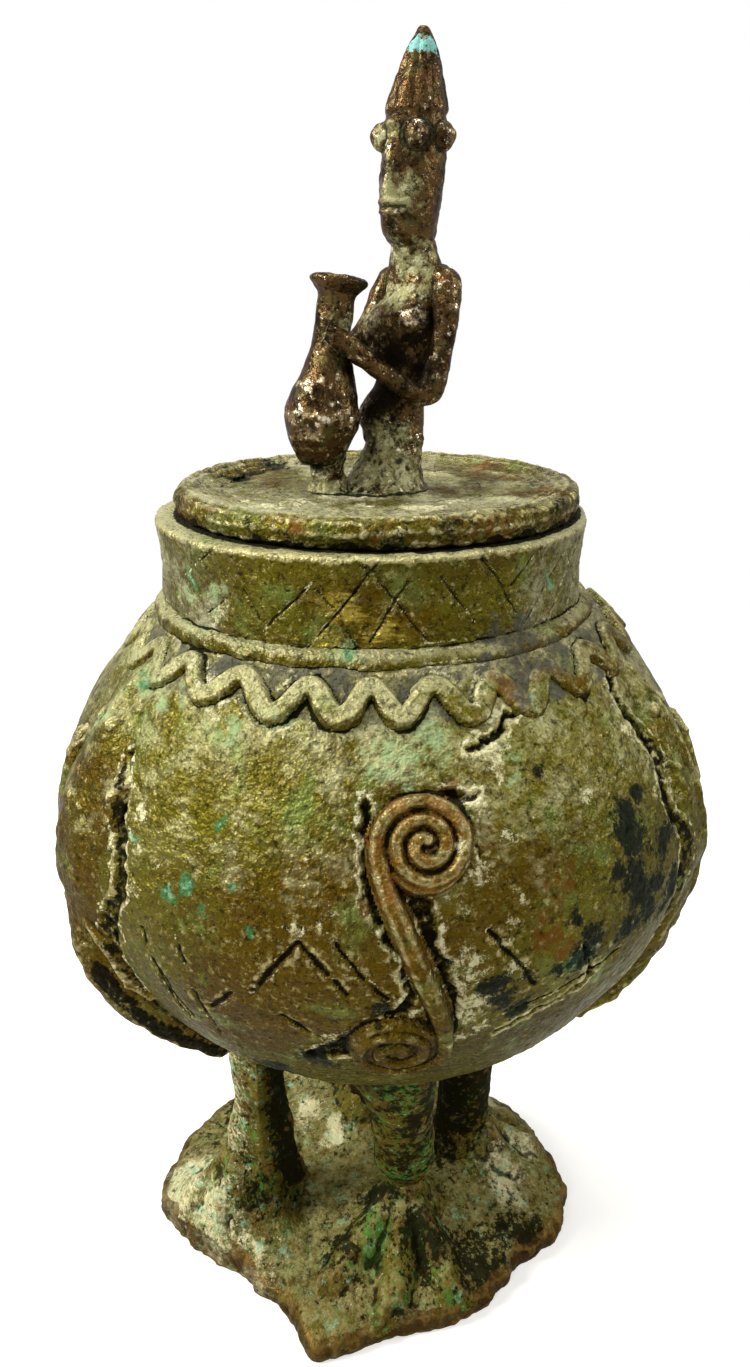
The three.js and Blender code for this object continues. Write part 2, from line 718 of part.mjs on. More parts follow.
// Jar with a flared, open mouth
function jar(swell = 0) {
  const outer = jarProfile.map(({ radius, rise }) => [radius + swell, rise]);
  outer[0][1] -= swell;
  const [lipOuter, top] = outer.at(-1);
  const cupRadius = jarProfile.at(-2).radius - jarLip;
  const cup = [[lipOuter - jarLip, top], [cupRadius, top - jarCup], [0, top - jarCup]];
  const geometry = turned([[0, outer[0][1]], ...outer, ...(swell ? [[0, top]] : cup)], figureFacets);
  const axis = polar(jarLeanTowards + 90, 1);
  geometry.applyMatrix4(new THREE.Matrix4().makeRotationAxis(axis, degToRad(jarLean)));
  return geometry.translate(jarX, jarY, jarBellyZ);
}

function jarLump() {
  const section = { x: lumpX, y: lumpY, across: lumpRadius, deep: lumpRadius };
  const lump = loft([
    ovalRing(section, seatGap, figureFacets, lumpFlare),
    ovalRing(section, lumpFlareHeight, figureFacets),
    ovalRing(section, jarBellyZ, figureFacets),
  ]);
  return shape(solid(lump).subtract(solid(jar(seatGap))).subtract(solid(mound(seatGap))));
}

// Arm: a round limb along a bent line, cut where it meets the torso and the jar
function arm(route) {
  const curve = new THREE.CatmullRomCurve3(route.map(({ x, y, z }) => new THREE.Vector3(x, y, z)));
  const steps = armSteps * (route.length - 1);
  const { normals, binormals } = curve.computeFrenetFrames(steps);
  const rings = curve.getSpacedPoints(steps).map((p, i) => {
    const radius = lerp(armRadius, wristRadius, i / steps);
    return Array.from({ length: armSides }, (_, j) => {
      const angle = (2 * Math.PI * j) / armSides;
      const out = normals[i].clone().multiplyScalar(radius * Math.cos(angle));
      return out.addScaledVector(binormals[i], radius * Math.sin(angle)).add(p);
    });
  });
  return shape(solid(loft(rings)).subtract(torso(seatGap)).subtract(solid(jar(seatGap))));
}

// Finishes: olive patina on the vessel and the lid, a browner one on the figure
const finishes = {
  olive: { color: 0x5d552c, roughness: 0.55, metalness: 0.6 },
  crusted: { color: 0x6a6744, roughness: 0.75, metalness: 0.35 },
  brown: { color: 0x57402a, roughness: 0.42, metalness: 0.7 },
};

function piece(name, geometry, finish) {
  const flat = geometry.index ? geometry.toNonIndexed() : geometry;
  flat.computeVertexNormals();
  const mesh = new THREE.Mesh(flat, new THREE.MeshStandardMaterial(finishes[finish]));
  mesh.name = name;
  return mesh;
}

const vessel = new THREE.Group();
vessel.add(piece("base_plate", plate(), "crusted"));
for (const limb of legs) {
  vessel.add(piece(`${limb.name}_foot`, foot(limb), "crusted"));
  vessel.add(piece(`${limb.name}_leg`, leg(limb), "crusted"));
}
vessel.add(piece("pot_globe", globe(), "olive"));
vessel.add(piece("pot_neck", neck(), "olive"));
vessel.add(piece("neck_roll", neckRoll(), "olive"));
vessel.add(piece("wavy_coil", wavyCoil(), "olive"));
for (const { name, azimuth } of scrolls) vessel.add(piece(name, scroll(azimuth), "olive"));
for (const one of lizards) vessel.add(piece(one.name, lizard(one), "olive"));

const figure = new THREE.Group();
figure.position.set(figureX, figureY, lidFootZ + lidPlateHeight);
figure.rotation.z = degToRad(figureTurn);
figure.add(piece("figure_mound", mound(), "brown"));
figure.add(piece("figure_torso", shape(torso()), "brown"));
figure.add(piece("figure_head", head(), "brown"));
figure.add(piece("figure_left_arm", arm(leftArm), "brown"));
figure.add(piece("figure_right_arm", arm(rightArm), "brown"));
figure.add(piece("held_jar", jar(), "brown"));
figure.add(piece("jar_lump", jarLump(), "brown"));

const lid = new THREE.Group();
lid.add(piece("lid_plate", lidPlate(), "olive"));
lid.add(piece("lid_rim", lidRim(), "olive"));
lid.add(piece("lid_ring", lidRing(), "olive"));
lid.add(figure);

const container = new THREE.Group();
container.add(vessel, lid);

export default container;
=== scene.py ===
# Cast bronze container with a figure on its lid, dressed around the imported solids.
# Sizes are millimetres and angles degrees; meshes become metres as they are made.
import math

import bpy
import numpy as np
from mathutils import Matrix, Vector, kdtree


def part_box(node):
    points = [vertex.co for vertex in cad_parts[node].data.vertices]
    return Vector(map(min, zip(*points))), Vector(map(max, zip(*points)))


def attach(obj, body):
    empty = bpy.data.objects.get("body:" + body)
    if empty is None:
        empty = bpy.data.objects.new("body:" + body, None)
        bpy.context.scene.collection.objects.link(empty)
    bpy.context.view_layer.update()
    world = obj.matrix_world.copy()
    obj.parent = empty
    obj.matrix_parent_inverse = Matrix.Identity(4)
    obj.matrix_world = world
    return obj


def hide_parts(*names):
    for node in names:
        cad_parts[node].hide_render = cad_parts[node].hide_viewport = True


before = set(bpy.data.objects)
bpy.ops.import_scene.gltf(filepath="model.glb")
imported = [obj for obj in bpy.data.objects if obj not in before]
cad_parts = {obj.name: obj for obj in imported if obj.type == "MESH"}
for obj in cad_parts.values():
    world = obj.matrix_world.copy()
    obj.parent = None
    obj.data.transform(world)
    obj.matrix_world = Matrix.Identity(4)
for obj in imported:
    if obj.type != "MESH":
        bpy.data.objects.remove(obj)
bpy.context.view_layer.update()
mm = 0.001
print("frame:", len(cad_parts), "solids")


def boxOf(node):
    low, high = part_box(node)
    return np.array(low) / mm, np.array(high) / mm


def addObject(name, data):
    obj = bpy.data.objects.new(name, data)
    bpy.context.scene.collection.objects.link(obj)
    return obj


# Camera at the photograph's place: the long side of the picture is the 36 mm side
cameraSpec = {"lens": 27.99, "side": -0.5, "back": 270, "height": 285, "pitch": 20.61}


def addCamera():
    data = bpy.data.cameras.new("camera")
    data.lens = cameraSpec["lens"]
    data.clip_start = 0.01
    camera = addObject("camera", data)
    camera.location = (cameraSpec["side"] * mm, -cameraSpec["back"] * mm, cameraSpec["height"] * mm)
    camera.rotation_euler = (math.radians(90 - cameraSpec["pitch"]), 0, 0)
    bpy.context.scene.camera = camera


addCamera()


# Noise and curves
noiseRng = np.random.default_rng(1)
shuffle = noiseRng.permutation(256)
slopes = noiseRng.uniform(-1, 1, (256, 3))
tilt = np.linalg.qr(noiseRng.normal(size=(3, 3)))[0]


def lumps(points, size, seed):
    # smooth noise from about -1 to 1, with lumps about `size` across
    at = points @ tilt / size + seed * 7.31
    cell = np.floor(at).astype(np.int32)
    part = at - cell
    ease = part ** 3 * (part * (part * 6 - 15) + 10)
    total = np.zeros(len(points))
    for corner in np.ndindex(2, 2, 2):
        key = np.zeros(len(points), np.int32)
        weight, rise = 1.0, 0.0
        for axis, step in enumerate(corner):
            key = shuffle[(key + cell[:, axis] + step) & 255]
            weight = weight * (ease[:, axis] if step else 1 - ease[:, axis])
        for axis, step in enumerate(corner):
            rise = rise + slopes[key, axis] * (part[:, axis] - step)
        total += weight * rise
    return 1.6 * total


def layered(points, layers, seed):
    # each layer is (size, depth)
    return sum(depth * lumps(points, size, seed + i) for i, (size, depth) in enumerate(layers))


def wandering(points, layers, seed):
    # points moved about by noise, so that what is measured from them gets ragged edges
    return points + np.stack([layered(points, layers, seed + 10 * i) for i in range(3)], axis=1)


def smoothstep(low, high, value):
    t = np.clip((value - low) / (high - low), 0, 1)
    return t * t * (3 - 2 * t)


def bell(value):
    return np.exp(-value ** 2)


def softMax(a, b, blend):
    return (a + b + np.sqrt((a - b) ** 2 + blend ** 2)) / 2


def curveThrough(points, count, closed=False):
    # a smooth curve through rows of numbers, sampled evenly from knot to knot
    points = np.array(points, float)
    knots = len(points)
    at = np.linspace(0, knots if closed else knots - 1, count, endpoint=not closed)
    first = np.clip(np.floor(at).astype(int), 0, knots - (1 if closed else 2))
    t = (at - first)[:, None]
    around = [first + shift for shift in (-1, 0, 1, 2)]
    around = [i % knots if closed else np.clip(i, 0, knots - 1) for i in around]
    p0, p1, p2, p3 = (points[i] for i in around)
    bend = 2 * p0 - 5 * p1 + 4 * p2 - p3
    return (2 * p1 + (p2 - p0) * t + bend * t ** 2 + (3 * p1 - p0 - 3 * p2 + p3) * t ** 3) / 2


def polyline(points, step):
    # points along straight stretches, `step` apart
    rows = []
    for start, end in zip(points[:-1], points[1:]):
        start, end = np.array(start, float), np.array(end, float)
        count = max(2, int(np.linalg.norm(end - start) / step) + 1)
        rows.append(start + (end - start) * np.linspace(0, 1, count)[:, None])
    return np.vstack(rows)


def polar(azimuth, reach, z=0.0):
    angle = np.radians(azimuth)
    return np.stack(np.broadcast_arrays(reach * np.cos(angle), reach * np.sin(angle), z), axis=-1)


def azimuthOf(points):
    return np.degrees(np.arctan2(points[..., 1], points[..., 0]))


def reachOf(points):
    return np.hypot(points[..., 0], points[..., 1])


def wrapped(azimuth):
    # the same direction, from -180 to 180
    return (azimuth + 180) % 360 - 180


def fullCircle(count):
    return np.linspace(-180, 180, count, endpoint=False)


def roundAngles(count):
    return np.linspace(0, 2 * math.pi, count, endpoint=False)


def flatPoints(u, w):
    return np.stack([u, w, np.zeros_like(u)], axis=1)


def drawingGrid(corners, margin, step):
    # even steps across and along a flat drawing
    low, high = corners.min(axis=0) - margin, corners.max(axis=0) + margin
    return np.meshgrid(*(np.arange(low[i], high[i], step) for i in (0, 1)))


def gridPoints(grid):
    return flatPoints(*(part.reshape(-1) for part in grid))


def nearest(points, samples, reach):
    # distance to the nearest sample and which one it is, looked for within `reach` of their box
    distance, index = np.full(len(points), float(reach)), np.zeros(len(points), int)
    inside = np.all((points > samples.min(axis=0) - reach) & (points < samples.max(axis=0) + reach), axis=1)
    if not inside.any():
        return distance, index
    asked = points[inside]
    low, high = asked.min(axis=0) - reach, asked.max(axis=0) + reach
    close = np.flatnonzero(np.all((samples > low) & (samples < high), axis=1))
    if not len(close):
        return distance, index
    tree = kdtree.KDTree(len(close))
    for i, sample in zip(close.tolist(), samples[close].tolist()):
        tree.insert(sample, i)
    tree.balance()
    found = [tree.find(point)[1:] for point in asked.tolist()]
    index[inside], distance[inside] = np.array(found).T
    return np.minimum(distance, reach), index


def unevenSteps(density, low, high, count):
    # values from low to high that lie closer where the density is higher
    fine = np.linspace(low, high, 4000)
    share = np.concatenate([[0], np.cumsum(density(fine))[:-1]])
    return np.interp(np.linspace(0, share[-1], count), share, fine)


# Meshes
pieces = []


def gridQuads(rows, cols, wrapRows=False, wrapCols=True):
    row = np.arange(rows if wrapRows else rows - 1)[:, None]
    col = np.arange(cols if wrapCols else cols - 1)[None, :]
    nextRow, nextCol = (row + 1) % rows * cols, (col + 1) % cols
    corners = (row * cols + col, row * cols + nextCol, nextRow + nextCol, nextRow + col)
    return np.stack(np.broadcast_arrays(*corners), axis=-1).reshape(-1, 4)


def ringNoise(rings, layers, seed):
    return layered(rings.reshape(-1, 3), layers, seed).reshape(rings.shape[:2])


def tube(rings, closed=False):
    # a skin over rings of points, capped at both ends or closed on itself
    rows, cols = rings.shape[:2]
    points = rings.reshape(-1, 3)
    faces = gridQuads(rows, cols, wrapRows=closed).tolist()
    if not closed:
        for ring, turn in ((0, -1), (rows - 1, 1)):
            edge = ring * cols + np.arange(cols)
            fan = np.stack([np.full(cols, len(points)), edge, np.roll(edge, -1)], axis=1)
            faces += fan[:, ::turn].tolist()
            points = np.vstack([points, rings[ring].mean(axis=0)])
    return points, faces


def turnedRings(profile, azimuths):
    # a profile of (radius, height) turned about Z
    profile = np.array(profile, float)
    return polar(azimuths[None, :], profile[:, :1], profile[:, 1:])


def sweptRings(route, radii, sides):
    # round sections along a route, each square to it
    ahead = np.gradient(route, axis=0)
    ahead /= np.linalg.norm(ahead, axis=1)[:, None]
    side = np.zeros_like(ahead)
    side[0] = np.cross(ahead[0], (0.3, 0.1, 1))
    for i in range(len(ahead)):
        last = side[max(i - 1, 0)]
        side[i] = last - ahead[i] * np.dot(last, ahead[i])
        side[i] /= np.linalg.norm(side[i])
    over = np.cross(ahead, side)
    angle = roundAngles(sides)[None, :, None]
    ring = side[:, None] * np.cos(angle) + over[:, None] * np.sin(angle)
    return route[:, None] + ring * np.array(radii)[:, None, None]


def raised(place, grid, height, sink, wrap=False):
    # a raised form on a surface: its top wherever it stands above the sink, and a hidden underside
    quads = gridQuads(*grid[0].shape, wrapCols=wrap)
    quads = quads[height[quads].max(axis=1) > -sink * 0.9]
    used, index = np.unique(quads, return_inverse=True)
    top = index.reshape(-1, 4)
    count = len(used)
    u, w, lift = grid[0].reshape(-1)[used], grid[1].reshape(-1)[used], np.maximum(height[used], -sink)
    points = np.vstack([place(u, w, lift), place(u, w, np.full(count, -sink - 0.6))])
    edges = np.concatenate([top[:, [i, (i + 1) % 4]] for i in range(4)])
    rim = edges[~np.isin(edges @ [count, 1], edges @ [1, count])]
    walls = np.stack([rim[:, 1], rim[:, 0], rim[:, 0] + count, rim[:, 1] + count], axis=1)
    return points, np.vstack([top, top[:, ::-1] + count, walls]).tolist()


def strokeHeight(flat, line, form, square="square"):
    # height of a band over flat points: rows of the line are its place, half width and height
    squareness, edgeSlope = form[square], form["edgeSlope"]
    distance, index = nearest(flat, flatPoints(*line[:, :2].T), line[:, 2].max() + 4)
    half, height = line[index, 2], line[index, 3]
    share = np.clip(distance / half, 0, 1)
    return np.where(distance < half, height * (1 - share ** squareness), (half - distance) * edgeSlope)


def pieceName(node):
    # camelCase of the node's name; an arm goes by its side alone
    first, *rest = node.removeprefix("figure_" if node.endswith("_arm") else "").split("_")
    return first + "".join(word.title() for word in rest)


def addPiece(node, body, slot, skin, layers, seed, meets=(), **marks):
    # a mesh that stands for its node's solid, roughened along its normals by layers of (size, depth);
    # dirt and painted shade gather where it meets the pieces named
    name = pieceName(node)
    points, faces = skin
    mesh = bpy.data.meshes.new(name)
    mesh.from_pydata((points * mm).tolist(), [], faces)
    mesh.polygons.foreach_set("use_smooth", np.ones(len(mesh.polygons), bool))
    mesh.update()
    if layers:
        points = points + vertexNormals(mesh) * layered(points, layers, seed)[:, None]
        setPoints(mesh, points)
    obj = addObject(name, mesh)
    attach(obj, body)
    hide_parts(node)
    pieces.append({"obj": obj, "points": points, "body": body, "slot": slot, "meets": meets, "marks": marks})


def carve(depths):
    # moves the last piece's vertices inward along their normals
    piece = pieces[-1]
    piece["points"] = piece["points"] - vertexNormals(piece["obj"].data) * depths[:, None]
    setPoints(piece["obj"].data, piece["points"])


def setPoints(mesh, points):
    mesh.vertices.foreach_set("co", (points * mm).reshape(-1))
    mesh.update()


def vertexNormals(mesh):
    flat = np.empty(len(mesh.vertices) * 3)
    mesh.vertices.foreach_get("normal", flat)
    return flat.reshape(-1, 3)


def fadedMarks(marks, share):
    # each mark goes from its first value to its second
    return {key: low + (high - low) * share for key, (low, high) in marks.items()}


# Globe: its outline, and places on its surface by azimuth and distance down from the shoulder's edge
potLow, potHigh = boxOf("pot_globe")
pot = {
    "radius": potHigh[0],
    "foot": potLow[2],
    "shoulder": potHigh[2],
    "equator": 152,
    "shoulderRadius": 56.5,
    "bore": 47,
    "wall": 4.5,
    "shoulderPower": 1.87,
    "bellyPower": 1.73,
    "dents": [(36, 0.6), (15, 0.3)],
    "pits": [(7, 0.17), (2.8, 0.17), (1.5, 0.16)],
    "columns": 600,
    "rows": 300,
    "frontAzimuth": -90,
    "closeRows": (135, 2.4, 0.8),  # how far down the rows lie close, and how close there and below
    "closeColumns": (55, 85, 1.5),  # degrees from the front between which they thin out, and how many more
    "pocketEdge": (0.5, 2),  # how far above or below the coil its dark ground starts and is full
    "pocketBehind": (60, 110),  # degrees from the front between which it gets patchier
    "drip": (3.6, 3),  # how far under the coil the green film lies, and its width
    "channelDepth": 0.35,  # beside the raised ornament
    "channelWidth": 1.1,
    "crackDepth": 1.5,
    "crackEdge": (0.7, 1.1),  # in half widths, where its black (corrosion and painted shade) ends
    "crackGrains": [(1.8, 0.3), (0.9, 0.2)],
    "eaten": [(3, 0.3), (1.4, 0.2)],  # roughness of the corroded spots
    "cutDepth": 0.75,  # of the incised lines
    "cutWidth": 0.75,
    "cutWander": [(9, 0.7), (3, 0.4)],
    "cutGaps": [(8, 1), (2, 0.5)],  # where they are worn away
    "crackWander": [(8, 1.4), (3, 1), (1.4, 0.5)],
    # incised lines on the lower front, by azimuth and height
    "cuts": [
        [(-108.8, 142.6), (-101, 158.6), (-94.4, 145.5)],
        [(-97.2, 161.2), (-89, 144.8)],
        [(-127.6, 151), (-125, 124)],
        [(-121.1, 155), (-119.8, 146)],
        [(-125.8, 140), (-123.6, 125)],
        [(-119.4, 137.6), (-118.6, 122)],
        [(-104.4, 137), (-97.5, 128.3)],
        [(-74, 160), (-66, 143)],
        [(-70, 135), (-62, 137.5), (-50, 143)],
        [(-112, 141), (-117, 134)],
    ],
    # dark gaps where the ornament has parted from the wall, painted black as corrosion and shade: azimuth, height
    # and half width
    "cracks": [
        [(-30.6, 200.4, 1.6), (-34.4, 195.3, 1.9), (-34, 189.8, 2.2), (-31.6, 183.4, 2.6), (-32, 178.9, 2.4),
         (-32.8, 172.7, 2.2), (-32.3, 167.3, 1.8), (-29.5, 159.5, 2.6), (-30.4, 152.7, 3), (-31.1, 145.4, 2.5),
         (-33, 136, 2.2), (-36, 128, 1.8), (-39, 122, 1.4)],
        [(-138.6, 185, 1.4), (-136.6, 177.2, 2.8), (-135, 170.8, 2.8), (-134, 165.5, 2.6), (-133.2, 159.3, 2.4),
         (-133.1, 155.8, 2.6), (-135.6, 148.8, 3.6), (-138, 140, 3.8), (-138, 134, 2.6), (-136, 127, 2)],
        [(-91.9, 186, 0.8), (-92.1, 181.1, 1.1), (-91.6, 174.7, 1.2), (-90.3, 168.1, 1.5), (-89, 164, 1.5),
         (-87.7, 158.4, 1.2), (-86, 153, 1.1), (-84.9, 146.5, 1.3), (-85.9, 141.5, 2), (-88.5, 140, 1.4)],
        [(-94.6, 131, 1.6), (-97, 124.2, 2.6), (-101, 121.5, 2)],
        [(-87, 170.5, 1.2), (-85.2, 167.4, 2), (-83.6, 163.1, 2), (-82.6, 158, 1.5), (-81.2, 151.7, 1.5),
         (-79.7, 146.7, 1.6), (-78.4, 137, 1.2)],
        [(-78.9, 186.2, 0.9), (-74.6, 185.4, 0.9)],
        [(-75.6, 181, 0.6), (-74.6, 174, 0.6)],
        [(-58, 150, 0.5), (-55, 139, 0.8), (-60, 134.2, 0.7), (-65.3, 132, 0.9), (-70.2, 130, 0.6)],
        [(-74, 193.4, 0.5), (-67.7, 195.5, 0.9), (-64.4, 198.7, 0.9), (-59.5, 199.3, 0.8), (-54.3, 200.6, 0.6)],
    ],
}


def potCurve(swell, edgeRadius, lowSteps, highSteps):
    # outline from the foot up to the shoulder's edge, as rows of radius and height
    angle = np.linspace(math.pi / 2, 0, lowSteps + 1)
    radius = pot["radius"] + swell
    drop = pot["equator"] - pot["foot"] + swell
    full = 2 / pot["bellyPower"]
    low = np.stack([radius * np.cos(angle) ** full, pot["equator"] - drop * np.sin(angle) ** full], axis=1)
    rise = np.linspace(0, 1, highSteps + 1)[1:]
    reach = radius - (radius - edgeRadius) * rise ** pot["shoulderPower"]
    high = np.stack([reach, pot["equator"] + (pot["shoulder"] - pot["equator"]) * rise], axis=1)
    return np.vstack([low, high])


meridian = potCurve(0, pot["shoulderRadius"], 500, 300)[::-1]
meridianStep = np.diff(meridian, axis=0)
meridianLength = np.linalg.norm(meridianStep, axis=1)
meridianDown = np.concatenate([[0], np.cumsum(meridianLength)])
meridianOut = np.stack([-meridianStep[:, 1], meridianStep[:, 0]], axis=1) / meridianLength[:, None]
meridianOut = np.vstack([meridianOut, meridianOut[-1]])


def onPot(azimuth, down, lift=0.0):
    r, z = (np.interp(down, meridianDown, meridian[:, i]) for i in (0, 1))
    outR, outZ = (np.interp(down, meridianDown, meridianOut[:, i]) for i in (0, 1))
    lift = lift + layered(polar(azimuth, r, z), pot["dents"], 11)
    return polar(azimuth, r + outR * lift, z + outZ * lift)


def downTo(z):
    return np.interp(-np.array(z), -meridian[:, 1], meridianDown)


def layOn(azimuth, middle):
    # a flat drawing on the globe: u to the right and w up from a point below the shoulder's edge
    radius = lambda w: np.interp(middle - w, meridianDown, meridian[:, 0])
    return lambda u, w, lift: onPot(azimuth + np.degrees(u / radius(w)), middle - w, lift)


# Neck with a lattice of incised lines, and the roll at its foot
neckLow, neckHigh = boxOf("pot_neck")
neck = {
    "foot": neckLow[2],
    "lip": neckHigh[2],
    "footRadius": 53,
    "waistRadius": 52.4,
    "lipRadius": neckHigh[0],
    "bore": pot["bore"],
    "rounding": 1.8,
    "columns": 760,
    "rowStep": 0.45,
    # lines seen on the front, by azimuth and height; the rest of the lattice follows their spacing
    "lattice": [
        [(-101, 229.3), (-117.5, 214.2)], [(-90, 230), (-107.5, 209.2)], [(-122.2, 222.3), (-118, 216.8)],
        [(-106.6, 227.3), (-100.3, 220.1)], [(-94.8, 231), (-90.5, 228.3)],
        [(-89.6, 226.3), (-86.1, 222.5), (-78.7, 212.8)], [(-83, 226.1), (-91.8, 213.1)],
        [(-76.8, 228.4), (-66.2, 215.6)], [(-64.8, 230), (-57.9, 222.4), (-53.2, 216.4)],
        [(-49.6, 229), (-55.6, 222.9)], [(-127.8, 219.7), (-134.5, 215.4)], [(-97.2, 215.6), (-94.1, 210.9)],
        [(-131.1, 230), (-143.3, 222.3)],
    ],
    "latticeFrom": -36,
    "latticeTo": 204,
    "latticePitch": 13,
    "latticeLean": 17,
    "latticeSeed": 5,
    "stray": (-2.5, 2.5),  # degrees aside, then how far from the lip and the foot a line ends, and its lean
    "fromLip": (1.5, 5),
    "fromFoot": (3, 8),
    "leans": (0.8, 1.1),
    "cutDepth": 0.5,
    "cutWidth": 0.45,
    "cutShade": 0.58,  # how much of a cut's depth counts towards black
    "cutWander": 0.6,  # beside that of the globe's cuts
    "cutGaps": [(9, 1), (2, 0.5)],
    "slit": 51.4,  # radius of the painted shadow in the gap under the lid
    "ash": 0.75,  # pale grains on all but the front, between these degrees from it
    "ashFrom": (18, 52),
    "swellTowards": 195,  # the neck is out of round, fuller on the left
    "swell": 2.3,
    "flat": 0.8,
    "waver": [(40, 0.5), (13, 0.35)],
    "rough": [(5, 0.16), (2.2, 0.12), (1.2, 0.08)],
}
roll = {
    "width": 3.1,
    "height": 3.4,
    "seat": 1.5,  # how far it sinks into the neck
    "outOfRound": 0.6,  # beside the neck
    "arc": (-0.35, 0.62),  # ends of its round face, in half turns
    "columns": 720,
    "waver": [(24, 0.6), (8, 0.4)],
    "rough": [(4, 0.28), (1.8, 0.14)],
}


def wavyRings(profile, form, seed, waver, outOfRound):
    # a turned profile whose rings waver, and swell to the left as the neck does, by these shares
    rings = turnedRings(profile, fullCircle(form["columns"]))
    wave = ringNoise(rings, form["waver"], seed) * waver
    rings[..., :2] *= 1 + (wave / profile[:, :1])[..., None]
    radius = np.linalg.norm(rings[..., :2], axis=-1)
    turn = np.radians(azimuthOf(rings) - neck["swellTowards"])
    swell = np.cos(turn) * np.where(np.cos(turn) > 0, neck["swell"], neck["flat"])
    rings[..., :2] *= (1 + swell * outOfRound / radius)[..., None]
    return rings


# Wavy coil round the shoulder. On the front its troughs lie where they were seen.
coil = {
    "waves": 24,
    "crest": 4.4,
    "trough": 11.6,
    "halfWidth": 2.4,
    "height": 1.8,
    "worn": [(192, 30, 0.6), (299, 11, 0.6), (322, 16, 0.4)],  # azimuth, reach and how much height is lost
    "seenTroughs": [-127.3, -110.5, -97, -85.4, -71.4, -58.4, -43.4],
    "wobble": [(21, 0.9)],
    # dusty and rubbed also scale painted top light and painted highlights
    "marks": {"dusty": (1.4, 0.9), "rubbedAndHighlit": (0.8, 0.7), "amber": (0.15, 0.65)},  # left and right
    "columns": 1000,
    "knots": 66,  # along each wave
    "square": 8,  # how full its section is
    "edgeSlope": 1.1,
    "step": 0.36,
    "sink": 0.7,
    "rough": [(5, 0.2), (2.4, 0.16), (1.2, 0.08)],
}
coilMiddle = (coil["crest"] + coil["trough"]) / 2
coilRadius = np.interp(coilMiddle, meridianDown, meridian[:, 0])


def coilDown(azimuth):
    # distance from the shoulder's edge down to the middle of the coil
    seen = np.array(coil["seenTroughs"])
    rest = coil["waves"] - len(seen) + 1
    gap = (seen[0] + 360 - seen[-1]) / rest
    troughs = np.concatenate([seen, seen[-1] + gap * np.arange(1, rest + 1)])
    phase = np.interp((azimuth - seen[0]) % 360 + seen[0], troughs, np.arange(len(troughs)))
    swing = (coil["trough"] - coil["crest"]) / 2
    wobble = layered(polar(azimuth, coilRadius, 0.0), coil["wobble"], 3)
    return coilMiddle + swing * np.cos(2 * math.pi * phase) + wobble


def coilMarks(points):
    # paler on the left of the front, browner on its right
    azimuth = azimuthOf(points)
    right = smoothstep(-84, -55, azimuth) * (1 - smoothstep(60, 150, azimuth)) + 0.5 * lumps(points, 12, 26)
    return fadedMarks(coil["marks"], np.clip(right, 0, 1))


def buildCoil():
    azimuth = np.linspace(-200, 200, coil["waves"] * coil["knots"])
    around = polar(azimuth, coilRadius, 0.0)
    height = coil["height"] * (1 + 0.25 * lumps(around, 12, 6))
    for worn, reach, loss in coil["worn"]:
        height = height * (1 - loss * bell(wrapped(azimuth - worn) / reach))
    line = np.stack([
        np.radians(azimuth) * coilRadius,
        coilMiddle - coilDown(azimuth),
        coil["halfWidth"] * (1 + 0.16 * lumps(around, 9, 5)),
        height,
    ], axis=1)
    across = np.linspace(-math.pi, math.pi, coil["columns"], endpoint=False) * coilRadius
    reach = (coil["trough"] - coil["crest"]) / 2 + coil["halfWidth"] + 2.4
    along = np.arange(-reach, reach, coil["step"])
    grid = np.meshgrid(across, along)
    height = strokeHeight(gridPoints(grid), line, coil)
    place = lambda u, w, lift: onPot(np.degrees(u / coilRadius), coilMiddle - w, lift)
    skin = raised(place, grid, height, coil["sink"], wrap=True)
    addPiece("wavy_coil", "vessel", "olive_bronze", skin, coil["rough"], 21, ["potGlobe"], **coilMarks(skin[0]))


buildCoil()
print("coil built")


# Scrolls: one band, rolled into a flat spiral at each end
scroll = {
    "front_scroll": {"azimuth": 277, "seed": 31},
    "right_rear_scroll": {"azimuth": 37, "seed": 32},
    "left_rear_scroll": {"azimuth": 157, "seed": 33},
}
scrollForm = {
    "clear": 12.5,  # from the coil's foot
    "upperRadius": 9.8,
    "upperTurns": 2.3,
    "lowerRadius": 10.4,
    "lowerTurns": 2,
    "eye": 1.2,
    "drop": 51.2,
    "shift": -5.6,
    "upperPull": 13,
    "lowerPull": 17,
    "halfWidth": 1.7,
    "height": 2.9,
    "stemWidth": 2.5,
    "discHeight": 1.85,  # of the ground between the turns
    "fade": (125, 178),  # heights between which these change
    # dusty and rubbed also scale painted top light and painted highlights
    "marks": {
        "amber": (0.75, 0.6), "rubbedAndHighlit": (0.55, 0.9), "dusty": (0.4, 0.55), "rust": (0.1, 0.45), "warm": (0.1, 0.55),
    },
    "margin": 1.6,
    "square": 4.5,  # how full the band's section is
    "edgeSlope": 1.1,
    "step": 0.36,
    "sink": 0.7,
    "rough": [(5, 0.16), (2.4, 0.1), (1.2, 0.06)],
}


